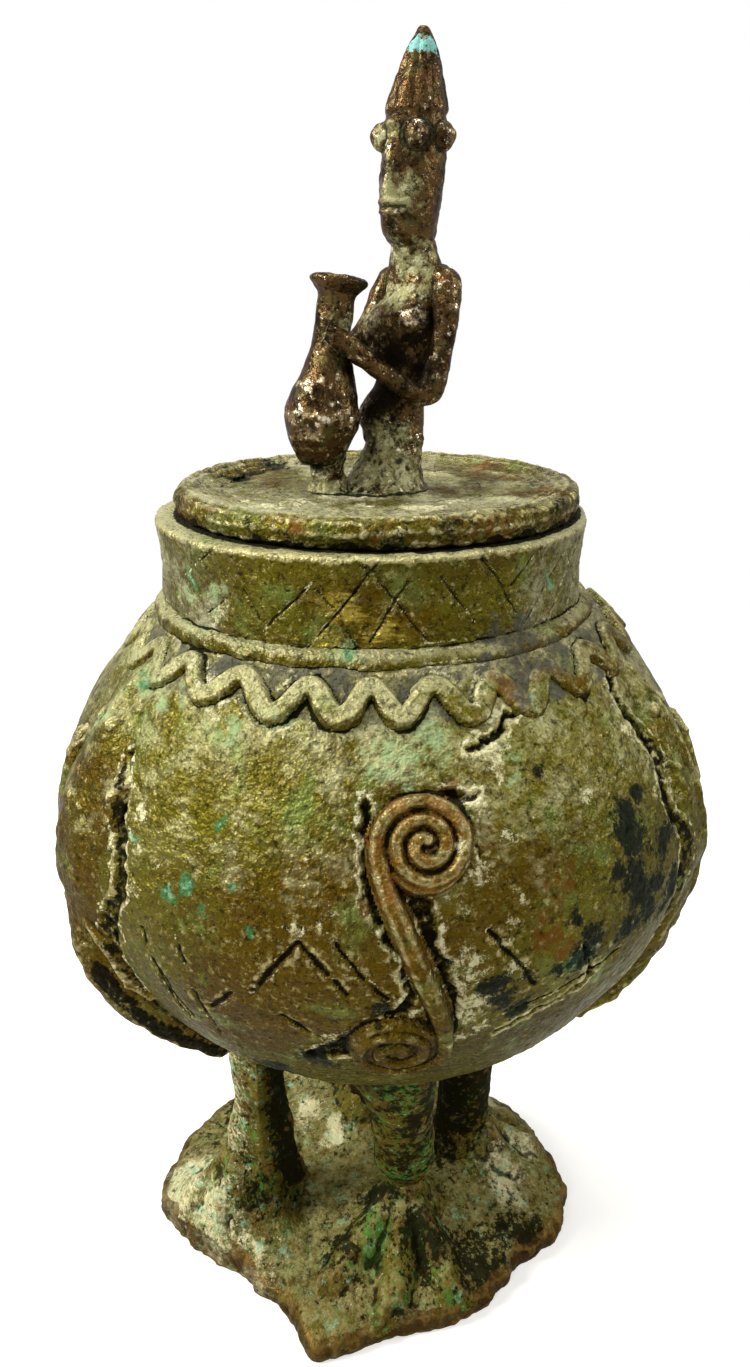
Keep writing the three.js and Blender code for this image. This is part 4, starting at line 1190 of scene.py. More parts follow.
# Legs: oval sections from inside the heel up into the globe's underside
legForm = {
    "shapes": {  # share of the way up, depth and width
        "plain": [
            (-0.12, 17, 16), (0, 13, 12.5), (0.25, 13.4, 14.2), (0.55, 15, 17), (0.8, 16, 19.5), (1, 18, 22),
            (1.1, 20, 25),
        ],
        "front": [  # a rounded thigh hangs over the ankle
            (-0.12, 13, 13), (0, 11, 11.6), (0.05, 11.6, 12.6), (0.11, 15, 16.4), (0.25, 16.8, 18),
            (0.6, 17, 18.2), (0.85, 17.5, 20), (1.1, 20, 24),
        ],
        "right": [
            (-0.12, 20, 16), (0, 17, 13), (0.25, 17.5, 14.4), (0.55, 18, 17), (0.8, 19, 19.5), (1, 20, 22),
            (1.1, 21, 25),
        ],
        "left": [  # a fin that stands out at its foot
            (-0.12, 30, 17), (0, 25, 16), (0.25, 19, 16), (0.55, 16, 17), (0.8, 16.5, 18), (1, 18, 20),
            (1.1, 20, 24),
        ],
    },
    "power": {"left": 1.25},  # under 2 the section has a ridge to the front
    "ankleZ": 26,
    "hipSink": 1.5,  # into the globe
    "shadeBehind": 4,  # how far behind or before its axis it is all painted shade or all painted light
    "paleFront": 8,
    "sides": 96,
    "rows": 110,
    "rough": [(14, 1.1), (6, 0.3), (2.4, 0.22), (1.3, 0.12)],
}


def undersideZ(reach):
    share = np.clip(reach / pot["radius"], 0, 1) ** pot["bellyPower"]
    return pot["equator"] - (pot["equator"] - pot["foot"]) * (1 - share) ** (1 / pot["bellyPower"])


def buildLeg(name, leg):
    hipZ = undersideZ(leg["hip"][1]) + legForm["hipSink"]
    ankle, hip = polar(*leg["ankle"], legForm["ankleZ"]), polar(*leg["hip"], hipZ)
    shape = legForm["shapes"].get(name, legForm["shapes"]["plain"])
    share, depth, width = curveThrough(shape, legForm["rows"]).T
    angle = roundAngles(legForm["sides"])
    heading = math.radians(leg["toeAzimuth"])
    ahead = np.array([math.cos(heading), math.sin(heading), 0])
    side = np.array([-math.sin(heading), math.cos(heading), 0])
    axis = ankle + (hip - ankle) * share[:, None]
    power = legForm["power"].get(name, 2)
    reach = (np.abs(np.cos(angle)) ** power + np.abs(np.sin(angle)) ** power) ** (-1 / power)
    rings = axis[:, None] + ahead * ((reach * np.cos(angle))[None, :] * depth[:, None] / 2)[..., None]
    rings = rings + side * ((reach * np.sin(angle))[None, :] * width[:, None] / 2)[..., None]
    points, faces = tube(rings)
    out = (points - np.vstack([np.repeat(axis, len(angle), axis=0), axis[[0, -1]]])) @ polar(leg["ankle"][0], 1)
    # dark crust and painted shade, all black on the side under the globe; painted light on the outer side
    dark = leg["dark"] * (1 + lumps(points, 9, leg["seed"] + 30))
    dark = np.maximum(dark, np.clip(-out / legForm["shadeBehind"], 0, 1))
    marks = {"dark": dark, "pale": leg.get("pale", 0) * np.clip(out / legForm["paleFront"], 0, 1)}
    marks["moss"] = mossOn(points, leg)
    rough, seed = legForm["rough"], leg["seed"] + 10
    addPiece(name + "_leg", "vessel", "crusted_bronze", (points, faces), rough, seed, **marks)


buildPlate()
for legName, legSpec in legs.items():
    buildFoot(legName, legSpec)
    buildLeg(legName, legSpec)
print("stand built")


# Lid: a dished plate inside a rolled rim, with a ring below that drops into the neck
rimLow, rimHigh = boxOf("lid_rim")
lidTop = boxOf("lid_plate")[1][2]
ringLow, ringHigh = boxOf("lid_ring")
lid = {
    "radius": rimHigh[0],
    "foot": rimLow[2],
    "rimTop": rimHigh[2],
    "rimWidth": 6.5,
    "columns": 640,
    "ringWall": 3.4,
    "ringColumns": 240,
    "ringRough": [(5, 0.12), (2, 0.06)],
    "waver": [(30, 0.35), (10, 0.22)],
    "rough": [(6, 0.3), (2.8, 0.3), (1.4, 0.16)],
    "grooves": {"radius": 41, "pitch": 2.6, "depth": 0.2, "count": 4},  # round the rim's inner slope
    "ridges": {"pitch": 2.6, "depth": 0.16},  # round its side
    "side": (2.5, 1),  # how far in from its edge the side starts and is full
    "slit": (0.4, 2.2),  # height of the painted black shadow at its foot, and how ragged that is
    "slitShadowRagged": [(7, 1.4), (2.5, 0.8)],
    "grey": 0.8,  # how thick the pale grains lie all over
    # dust and painted top light on the lid's top
    "dusty": 0.5,
    "hollows": [(-38, 12, 5), (-34, 21, 6), (-28, 29, 6), (-17, 35, 4)],  # worn back-left edge: x, y and radius
    "hollowDepth": 1,
    "rust": [(30, 27, 8), (37, 12, 6), (41, -8, 5), (-36, -19, 6)],
    "amber": [(33, 20, 14), (-33, 20, 13), (20, -8, 9), (-26, 4, 8), (40, -14, 10)],
    "cream": [
        (-24, -27, 7), (-17, -22, 7), (-11, -15, 6), (-4, -27, 6), (10, -28, 6), (18, -22, 4), (-30, -20, 4),
        (-2, -16, 4),
    ],
}


def lidRings(profile, seed):
    rings = turnedRings(profile, fullCircle(lid["columns"]))
    rings[..., 2] += ringNoise(rings, lid["waver"], seed)
    return rings


def addLidPiece(node, skin, seed, meets=()):
    points = skin[0]
    reach = reachOf(points)
    upper = points[:, 2] > lid["foot"] + 2
    side = smoothstep(*(lid["radius"] - inset for inset in lid["side"]), reach)
    hollow = spotsOn(points, lid["hollows"]) * upper
    red = np.maximum(side * (0.5 + 0.7 * lumps(points, 12, 127)), 0.9 * spotsOn(points, lid["rust"]) * upper)
    brown = spotsOn(points, lid["amber"])
    # a painted black shadow round the rim's foot
    rise = points[:, 2] - lid["foot"] + layered(points, lid["slitShadowRagged"], 129)
    slit = side * (1 - smoothstep(*lid["slit"], rise))
    grey = lid["grey"] * (1 + 0.4 * lumps(points, 13, 130))
    marks = {
        "cream": spotsOn(points, lid["cream"]) * upper,
        "ash": grey * (1 - 0.5 * side) * (1 - 0.6 * brown),
        "soot": np.maximum(0.9 * hollow, 0.35 * side * (1 + lumps(points, 8, 132))),
        "amber": np.maximum(brown, 0.35 * side),
        "rust": np.clip(red, 0, 1),
        "crack": slit,
        "dusty": lid["dusty"] * (1 + lumps(points, 9, 131)),
    }
    addPiece(node, "lid", "olive_bronze", skin, lid["rough"], seed, meets, **marks)
    g = lid["grooves"]
    wander = reach + 1.2 * lumps(points, 24, 128)
    across = (wander - g["radius"]) / g["pitch"]
    groove = np.cos(2 * math.pi * across) * smoothstep(0.2, 0.6, across)
    groove = groove * (1 - smoothstep(g["count"] - 0.6, g["count"], across))
    r = lid["ridges"]
    ridge = r["depth"] * side * np.cos(2 * math.pi * (points[:, 2] + wander - reach) / r["pitch"])
    carve((lid["hollowDepth"] * hollow + g["depth"] * groove) * upper + ridge)


def buildLid():
    inner = lid["radius"] - lid["rimWidth"]
    foot, top = lid["foot"], lid["rimTop"]
    disc = np.vstack([
        polyline([(0.6, foot + 0.2), (inner + 1, foot + 0.2)], 3),
        polyline([(inner + 1, foot + 0.8), (inner + 1, top - 1.6)], 0.6),
        polyline([(inner + 1, top - 1.1), (inner - 5, lidTop + 0.1), (26, lidTop), (0.6, lidTop)], 0.55),
    ])
    skin = tube(lidRings(disc, 121))
    addLidPiece("lid_plate", skin, 122, ["jarLump", "figureMound"])
    outer = lid["radius"]
    rim = roundedProfile([
        (inner - 0.6, foot), (outer - 1, foot), (outer, foot + 2), (outer, foot + 5), (outer - 1.2, top - 0.5),
        (outer - 3, top), (inner + 0.4, top - 0.8), (inner - 1.2, top - 1.5),
    ], 0.4, 4)
    addLidPiece("lid_rim", tube(lidRings(rim, 121), closed=True), 124)
    outer = ringHigh[0]
    inner = outer - lid["ringWall"]
    ring = roundedProfile([
        (inner, ringLow[2]), (outer, ringLow[2]), (outer, foot + 0.6), (inner, foot + 0.6),
    ], 0.7, 1)
    skin = tube(turnedRings(ring, fullCircle(lid["ringColumns"])), closed=True)
    addPiece("lid_ring", "lid", "olive_bronze", skin, lid["ringRough"], 125)


buildLid()
print("lid built")


# Figure, in its own frame: it faces -Y there, and is turned on the lid
figure = {"x": 4.5, "y": -1, "turn": -40, "sides": 132}
figureTurn = math.radians(figure["turn"])
figureRubAndHighlight = {"held_jar": 1.5, "figure_head": 0.7}  # how much brighter a piece is worn and given painted highlights
figureSpots = {  # in its own frame: x, y, z and radius of earth in the hollows and of black shade
    "earth": [
        (0.5, -1, 45, 6), (-4, 0, 40, 6), (1.5, -1, 53, 6), (6, 2, 52, 5), (0, -7, 3, 12), (-7, -5, 4, 11),
        (7, -5, 4, 11), (2, -6, 12, 7), (-7, -13, 40, 5), (-9, -17, 7, 6), (-8.4, -15.8, 2, 9), (5, -4, 67, 6),
        (9, -1, 47, 4), (0, 9, 20, 9), (2, 10, 44, 8), (-6, 6, 12, 8), (-1, -5, 79, 5),
    ],
    "shade": [
        (-3, -5, 28, 8), (2, -4, 32, 7), (8, -2, 29, 6), (0, -6, 22, 8), (8.5, 1, 40, 5), (-4, -1, 36, 5),
        (6, -1, 36, 4), (-9, -20, 8, 4), (-3, -9, 24, 5), (1, -4, 72, 3),
    ],
}
mound = {
    "rows": 70,
    "sections": [  # height, middle and half sizes across and front to back
        (-1.2, -3, -3.4, 14.5, 13.5), (0, -2.6, -3, 12.6, 11.8), (2, -2, -2.2, 10.4, 9.8),
        (5, -1.2, -1.2, 8.8, 8), (11.6, 0, 0, 7.4, 6.4), (13.5, 0.1, 0.2, 6.9, 6),
    ],
    "rough": [(5, 0.6), (2.4, 0.35), (1.2, 0.15)],
}
torso = {
    "rows": 170,
    "rough": [(4.5, 0.3), (2.2, 0.16), (1.1, 0.08)],
    "sections": [
        (10.5, 0, 0, 7.2, 6.2), (12, 0, 0, 7.3, 6.3), (17, 0.3, 0.7, 6.7, 5.6), (25, 0.8, 2, 6.2, 5),
        (34, 1.3, 3.5, 7.2, 5.5), (43, 1.7, 4.8, 8.4, 5.3), (49.5, 1.8, 5.2, 8.3, 4.8), (52.4, 1.8, 5, 6.8, 5),
        (55, 1.75, 4.5, 5.7, 5.2), (58, 1.7, 4.3, 5, 4.7), (62, 1.6, 4, 3.4, 3.4),
    ],
    "breasts": {"side": 3.9, "z": 40.2, "radius": 3.9, "rise": 3.2},
    "flank": {"side": -5.6, "front": 3.4, "z": 35, "radius": 6, "rise": 4.4},  # towards the right arm
    "lap": {"side": -5, "front": 3.8, "z": 18.5, "radius": 5.5, "rise": 4},
}
head = {
    "foot": 56.8,
    "height": 44.5,
    "rows": 230,
    "rough": [(4, 0.22), (2, 0.14), (1, 0.07)],
    "sections": [  # share of the height, middle and half sizes
        (-0.02, 1.6, 3.6, 4.4, 4.6), (0.02, 1.6, 3.2, 5.4, 6.2), (0.08, 1.5, 2.9, 6.2, 7.2),
        (0.25, 1.4, 3.6, 7.2, 7.8), (0.43, 1.4, 4.5, 7.4, 7.7), (0.57, 1.6, 4.8, 7.1, 7.2),
        (0.7, 1.9, 5, 5.8, 5.8), (0.82, 2.3, 5.3, 4.1, 4.1), (0.93, 2.5, 5.6, 2.4, 2.4),
        (0.985, 2.6, 5.8, 1.5, 1.5), (1, 2.6, 5.8, 0.8, 0.8),
    ],
    "eyeLevel": 0.5,
    "eyeTurn": 42,
    "earTurn": 100,
    "bossRadius": 3.3,
    "bossFull": 0.8,
    "bossRise": 0.9,
    "noseLevel": 0.25,
    "noseWidth": 4.4,
    "noseReach": 2.2,
    "noseTip": 5,  # how sharply it ends below, falls towards the eyes, and where it stops
    "noseFall": 0.62,
    "noseTop": 1.4,
    "lipsLevel": 0.167,
    "lipsWidth": 8,
    "lipSpacing": 2.1,
    "lipReach": 1.3,
    "lipHalf": 0.85,
    "faceRadius": 7,
    "browLevel": 0.56,
    "browReach": 0.8,
    "browHalf": 1.5,
    "browSpan": 55,
    "capLevel": 0.6,
    "capEdge": 0.03,
    "capEnd": 0.9,  # from here its ribs fade
    "ribs": 9,
    "ribDepth": 0.4,
    "capRise": 0.35,
}
arms = {  # places along each arm and its radius there
    "left": [
        (6.4, 5.2, 50.2, 1.6), (9.6, 5.2, 49.2, 3.1), (11.6, 4.6, 46, 3.5), (12.2, 2.6, 35, 2.7),
        (10.8, -0.8, 23, 2.5), (3.8, -9, 28, 2.2), (-2.6, -17.4, 36, 2.4), (-5, -19.5, 37.5, 1.8),
    ],
    "right": [
        (-3.2, 5.3, 50, 1.4), (-5.8, 5.3, 49.2, 2.7), (-7.4, 4.4, 46, 3.1), (-8.6, 1.8, 40, 2.9),
        (-9.3, -4.2, 34.6, 2.5), (-10.4, -10.8, 33, 2.1), (-10.2, -13, 32.6, 1.7),
    ],
}
armForm = {"rows": 150, "sides": 64, "rough": [(3.5, 0.25), (1.8, 0.14), (1, 0.07)]}
jar = {
    "x": -8.8,
    "y": -17.2,
    "bellyZ": 17,
    "lean": 8.7,
    "leanTowards": 67,
    "profile": [  # radius and height from the belly along the axis
        (0.4, -10.6), (3, -10.5), (4.6, -9.6), (6.9, -6.4), (9, 0), (8, 6), (5.5, 13.5), (4.4, 20),
        (4.3, 25.5), (4.4, 28.4), (5.2, 29.8), (6.6, 31.3), (6.6, 32.2), (5.6, 32.8), (4.4, 32.2), (3.4, 30.6),
        (2.6, 28.4), (0.4, 28),
    ],
    "rows": 190,
    "columns": 150,
    "rough": [(6, 0.4), (2.6, 0.18), (1.2, 0.07)],
}
lump = {
    "rows": 60,
    "sections": [
        (-0.8, -8.4, -15.8, 6.4, 6.4), (0.6, -8.4, -15.8, 5.4, 5.4), (2.5, -8.4, -15.8, 4.3, 4.3),
        (5, -8.4, -15.8, 4, 4), (9, -8.4, -15.8, 4.6, 4.6),
    ],
    "rough": [(4, 0.7), (2, 0.35), (1.1, 0.15)],
}


def onLid(points):
    # from the figure's frame to the container's
    c, s = math.cos(figureTurn), math.sin(figureTurn)
    x, y, z = points.T
    return np.stack([figure["x"] + c * x - s * y, figure["y"] + s * x + c * y, z + lidTop], axis=1)


figureAngle = roundAngles(figure["sides"])


def ovals(z, x, y, across, deep, out=0.0):
    # oval rings about the middles (x, y), each point moved out by `out`
    z, x, y, across, deep = (value[:, None] for value in (z, x, y, across, deep))
    sides = (x + (across + out) * np.cos(figureAngle), y + (deep + out) * np.sin(figureAngle), z)
    return np.stack(np.broadcast_arrays(*sides), axis=-1)


def ovalRings(form):
    return ovals(*curveThrough(form["sections"], form["rows"]).T)


def addFigurePiece(node, rings, layers, seed, meets=()):
    points, faces = tube(rings)
    marks = {}
    for kind, spots in figureSpots.items():
        marks[kind] = np.zeros(len(points))
        for *middle, radius in spots:
            away = np.linalg.norm(points - middle, axis=1) * (1 + 0.3 * lumps(points, 4, 171))
            marks[kind] = np.maximum(marks[kind], bell(away / radius))
    marks["rubbedAndHighlit"] = np.full(len(points), figureRubAndHighlight.get(node, 1.0))
    addPiece(node, "lid", "brown_bronze", (onLid(points), faces), layers, seed, meets, **marks)


def swell(rings, centre, radius, rise):
    # pushes a soft bump out of a body of rings
    axis = rings.mean(axis=1, keepdims=True)
    out = rings - axis
    out = out / np.linalg.norm(out, axis=-1, keepdims=True)
    away = np.linalg.norm(rings - np.array(centre), axis=-1, keepdims=True)
    return rings + out * rise * bell(away / radius)


def sectionAt(sections, value):
    rows = np.array(sections)
    return [np.interp(value, rows[:, 0], rows[:, i]) for i in range(1, 5)]


def buildTorso():
    addFigurePiece("figure_mound", ovalRings(mound), mound["rough"], 131, ["jarLump", "heldJar", "lidPlate"])
    rings = ovalRings(torso)
    b = torso["breasts"]
    x, y, _, deep = sectionAt(torso["sections"], b["z"])
    for side in (-1, 1):
        rings = swell(rings, (x + side * b["side"], y - deep, b["z"]), b["radius"], b["rise"])
    for bulge in (torso["flank"], torso["lap"]):
        x, y = sectionAt(torso["sections"], bulge["z"])[:2]
        centre = (x + bulge["side"], y - bulge["front"], bulge["z"])
        rings = swell(rings, centre, bulge["radius"], bulge["rise"])
    addFigurePiece("figure_torso", rings, torso["rough"], 132, ["leftArm", "rightArm", "heldJar"])


# The face is a plain one laid out by the usual shares of a head
def buildHead():
    h = head
    share, x, y, across, deep = curveThrough(h["sections"], h["rows"]).T
    turn = wrapped(np.degrees(figureAngle) - 270)  # from the middle of the face
    cap = smoothstep(h["capLevel"], h["capLevel"] + h["capEdge"], share) * (1 - smoothstep(h["capEnd"], 1, share))
    ribs = h["ribDepth"] * np.abs(np.cos(h["ribs"] * figureAngle / 2))[None, :] * cap[:, None]
    ribs = ribs + h["capRise"] * cap[:, None]
    gap = np.abs((share[:, None] - h["browLevel"]) * h["height"] / h["browHalf"])
    brow = h["browReach"] * bell(gap + np.abs(turn)[None, :] / h["browSpan"])
    rise = (share[:, None] - h["noseLevel"]) / (h["eyeLevel"] - h["noseLevel"])
    bridge = np.clip(1 - h["noseFall"] * rise, 0, 1) * (rise < h["noseTop"])
    nosePull = np.where(rise < 0, bell(rise * h["noseTip"]), bridge)
    noseSide = turn[None, :] / 180 * math.pi * across[:, None] / (h["noseWidth"] / 2)
    nose = h["noseReach"] * nosePull * bell(noseSide)
    lipSide = turn / 180 * math.pi * h["faceRadius"] / (h["lipsWidth"] / 2)
    lips = 0
    for side in (-1, 1):
        away = (share - h["lipsLevel"]) * h["height"] - side * h["lipSpacing"] / 2
        lips = lips + h["lipReach"] * bell(away / h["lipHalf"])[:, None] * np.exp(-lipSide ** 4)[None, :]
    rings = ovals(h["foot"] + share * h["height"], x, y, across, deep, ribs + brow + nose + lips)
    level = h["eyeLevel"]
    mx, my, ma, md = sectionAt(h["sections"], level)
    for turned in (-h["earTurn"], -h["eyeTurn"], h["eyeTurn"], h["earTurn"]):
        way = math.radians(turned - 90)
        centre = np.array([mx + ma * math.cos(way), my + md * math.sin(way), h["foot"] + level * h["height"]])
        away = np.linalg.norm(rings - centre, axis=-1)
        dome = np.clip(1 - (away / h["bossRadius"]) ** 2, 0, 1) ** h["bossFull"] * h["bossRadius"] * h["bossRise"]
        rings[..., 0] += dome * math.cos(way)
        rings[..., 1] += dome * math.sin(way)
    addFigurePiece("figure_head", rings, h["rough"], 141)


def buildArms():
    for side, arm in arms.items():
        rows = curveThrough(arm, armForm["rows"])
        rings = sweptRings(rows[:, :3], rows[:, 3], armForm["sides"])
        addFigurePiece("figure_" + side + "_arm", rings, armForm["rough"], 151, ["heldJar", "figureTorso"])


def buildJar():
    profile = curveThrough(jar["profile"], jar["rows"])
    azimuths = np.linspace(0, 360, jar["columns"], endpoint=False)
    rings = turnedRings(np.maximum(profile, [0.3, -99]), azimuths)
    lean, towards = math.radians(jar["lean"]), math.radians(jar["leanTowards"])
    ahead = np.array([math.cos(towards), math.sin(towards), 0])
    along = rings @ ahead
    z = rings[..., 2]
    flat = rings - ahead * along[..., None] - np.array([0, 0, 1]) * z[..., None]
    leaned = flat + ahead * (along * math.cos(lean) + z * math.sin(lean))[..., None]
    leaned[..., 2] += z * math.cos(lean) - along * math.sin(lean)
    leaned = leaned + np.array([jar["x"], jar["y"], jar["bellyZ"]])
    addFigurePiece("held_jar", leaned, jar["rough"], 161, ["leftArm", "rightArm", "jarLump"])
    addFigurePiece("jar_lump", ovalRings(lump), lump["rough"], 162, ["heldJar", "lidPlate"])


buildTorso()
buildHead()
buildArms()
buildJar()
print("figure built")


# Marks of age and of painted light, kept on the vertices for the finishes to read:
# crevice (dirt and painted shade) and fringe follow where pieces meet and dip, rub (wear and painted
# highlights) follows what stands out, and dust (with painted top light) follows what faces up
marksForm = {
    "meetReach": 6,  # how far from another piece its crevice is looked for
    "widePieces": ("potGlobe", "figureTorso", "lidPlate"),
    "wide": (0.15, 1.4),  # crevice width and its waver on these, and on the rest
    "narrow": (0.4, 0.3),
    "cutBlack": (0.35, 0.8),  # share of a cut's depth at which it turns black, as dirt and painted shade
    "scratch": (1.1, 0.25, 0.15),  # strength of the pale line beside a cut, where it lies and how wide
    "fringeWidth": 0.6,
    "tipBand": (4, 2.4),  # its distance from the cap's tip, and its width
    "patchSize": 24,
    "dipScale": 0.18,
    "smoothRounds": 14,
}


def smoothed(mesh, points, rounds):
    ends = np.empty(len(mesh.edges) * 2, np.int32)
    mesh.edges.foreach_get("vertices", ends)
    a, b = ends.reshape(-1, 2).T
    count = len(points)
    degree = np.bincount(a, minlength=count) + np.bincount(b, minlength=count)
    for _ in range(rounds):
        total = np.stack([
            np.bincount(a, points[b, i], count) + np.bincount(b, points[a, i], count) for i in range(3)
        ], axis=1)
        points = (points + total / degree[:, None]) / 2
    return points


def addMark(mesh, name, values):
    attribute = mesh.attributes.new(name, "FLOAT", "POINT")
    attribute.data.foreach_set("value", values.astype(np.float32))


def tipMark(points):
    # a pale green band on the front of the cap, just under its tip
    y, z = points[:, 1], points[:, 2]
    drop, width = marksForm["tipBand"]
    front = smoothstep(-1, 1.5, y[z > z.max() - 2 * drop].mean() - y)
    return front * bell((z.max() - drop - z) / width)


def markPiece(piece):
    f = marksForm
    points, mesh, marks = piece["points"], piece["obj"].data, dict(piece["marks"])
    none = np.zeros(len(points))
    meet = np.full(len(points), float(f["meetReach"]))
    if piece["meets"]:
        others = np.vstack([p["points"] for p in pieces if p["obj"].name in piece["meets"]])
        meet = nearest(points, others, f["meetReach"])[0]
    normals = vertexNormals(mesh)
    dip = np.sum((smoothed(mesh, points, f["smoothRounds"]) - points) * normals, axis=1) / f["dipScale"]
    least, waver = f["wide" if piece["obj"].name in f["widePieces"] else "narrow"]
    width = least + waver * lumps(points, f["patchSize"], 7)
    # crevice: black dirt and painted shade where pieces meet, in dips, and in cuts and cracks
    crevice = (1 - smoothstep(width * 0.5, np.maximum(width, 0.3), meet)) * smoothstep(0.1, 0.4, width)
    cut = marks.pop("cut", none)
    crevice = np.maximum(crevice, np.clip(dip * 0.5, 0, 0.7))
    crevice = np.maximum(crevice, np.maximum(smoothstep(*f["cutBlack"], cut), marks.pop("crack", none)))
    fringe = bell((meet - np.maximum(width, 0) - 0.5) / f["fringeWidth"]) * (meet < f["meetReach"])
    fringe = fringe * smoothstep(-0.1, 0.4, lumps(points, f["patchSize"], 8))
    strength, level, spread = f["scratch"]
    scratch = strength * bell((cut - level) / spread) * (cut > 0.03)
    fringe = np.maximum(fringe, np.maximum(scratch, marks.pop("edge", none)))
    # dust and painted top light: lighter where the surface faces up
    dust = np.clip(normals[:, 2], 0, 1) * marks.pop("dusty", 1)
    # rub: wear and painted highlights, lighter where the surface bulges
    rub = np.clip(-dip, 0, 1) * marks.pop("rubbedAndHighlit", 1)
    # hollow is where the surface dips; the finishes paint it black as dirt and painted shade
    marks.update(crevice=crevice, fringe=fringe, rub=rub, hollow=np.clip(dip, 0, 1), dust=dust)
    if piece["body"] == "vessel" and piece["slot"] == "olive_bronze":
        for kind, value in stainMarks(points).items():
            marks[kind] = np.maximum(value, marks.get(kind, none))
    if piece["obj"].name == "figureHead":
        marks["tip"] = tipMark(points)
    for name, value in marks.items():
        addMark(mesh, name, value)


for agedPiece in pieces:
    markPiece(agedPiece)
print("marks laid on", len(pieces), "pieces,", sum(len(p["obj"].data.polygons) for p in pieces), "faces")


# Finishes
def toLinear(hexColour):
    values = [int(hexColour[i:i + 2], 16) / 255 for i in (1, 3, 5)]
    return [v / 12.92 if v <= 0.04045 else ((v + 0.055) / 1.055) ** 2.4 for v in values] + [1]


def emptyTree(owner):
    owner.use_nodes = True
    owner.node_tree.nodes.clear()
    return owner.node_tree


def addNode(tree, kind, inputs=None, **settings):
    node = tree.nodes.new("ShaderNode" + kind)
    for key, value in settings.items():
        setattr(node, key, value)
    for key, value in (inputs or {}).items():
        if isinstance(value, bpy.types.NodeSocket):
            tree.links.new(value, node.inputs[key])
        else:
            node.inputs[key].default_value = value
    return node


def perMm(size):
    # texture scale whose lumps are `size` mm, on coordinates in metres
    return 1 / (size * mm)


# A patina's layers are rows: tone, the mark that brings it on and how strongly, the size of the noise that
# breaks it up, where it starts and is full, how much it covers, the noise's detail and grain, and the
# layer's own roughness and metallic, or None to leave what is below
def patina(name, spec):
    material = bpy.data.materials.new(name)
    tree = emptyTree(material)
    place = addNode(tree, "TexCoord").outputs["Object"]
    stretched = addNode(tree, "Mapping", {"Vector": place, "Scale": spec["stretch"]}).outputs[0]
    colour, rough, metal = toLinear(spec["ground"]), spec["roughness"], spec["metallic"]
    for i, row in enumerate(spec["layers"]):
        tone, mark, gain, size, start, full, cover, detail, grain, ownRough, ownMetal, *drawn = row
        value = addNode(tree, "TexNoise", {
            "Vector": stretched if drawn else place, "W": i * 3.7 + spec["seed"], "Scale": perMm(size),
            "Detail": detail, "Roughness": grain,
        }, noise_dimensions="4D").outputs["Fac"]
        if mark:
            strength = addNode(tree, "Attribute", attribute_name=mark).outputs["Fac"]
            value = addNode(tree, "Math", {0: strength, 1: gain, 2: value}, operation="MULTIPLY_ADD").outputs[0]
        mask = addNode(tree, "MapRange", {
            "Value": value, "From Min": start, "From Max": full, "To Max": cover,
        }, interpolation_type="SMOOTHSTEP").outputs[0]
        colour = addNode(tree, "Mix", {0: mask, 6: colour, 7: toLinear(tone)}, data_type="RGBA").outputs[2]
        if ownRough is not None:
            rough = addNode(tree, "Mix", {0: mask, 2: rough, 3: ownRough}).outputs[0]
        if ownMetal is not None:
            metal = addNode(tree, "Mix", {0: mask, 2: metal, 3: ownMetal}).outputs[0]
    normal = None
    for size, depth in spec["grit"]:
        grit = addNode(tree, "TexNoise", {"Vector": place, "Scale": perMm(size), "Detail": 2}).outputs["Fac"]
        links = {"Height": grit, "Distance": depth * mm, "Strength": 1.0}
        if normal:
            links["Normal"] = normal
        normal = addNode(tree, "Bump", links).outputs[0]
    shader = addNode(tree, "BsdfPrincipled", {
        "Base Color": colour, "Roughness": rough, "Metallic": metal, "Normal": normal,
        "Specular IOR Level": spec["shine"], "Specular Tint": toLinear(spec["edgeTint"])})
    addNode(tree, "OutputMaterial", {"Surface": shader.outputs[0]})
    return material
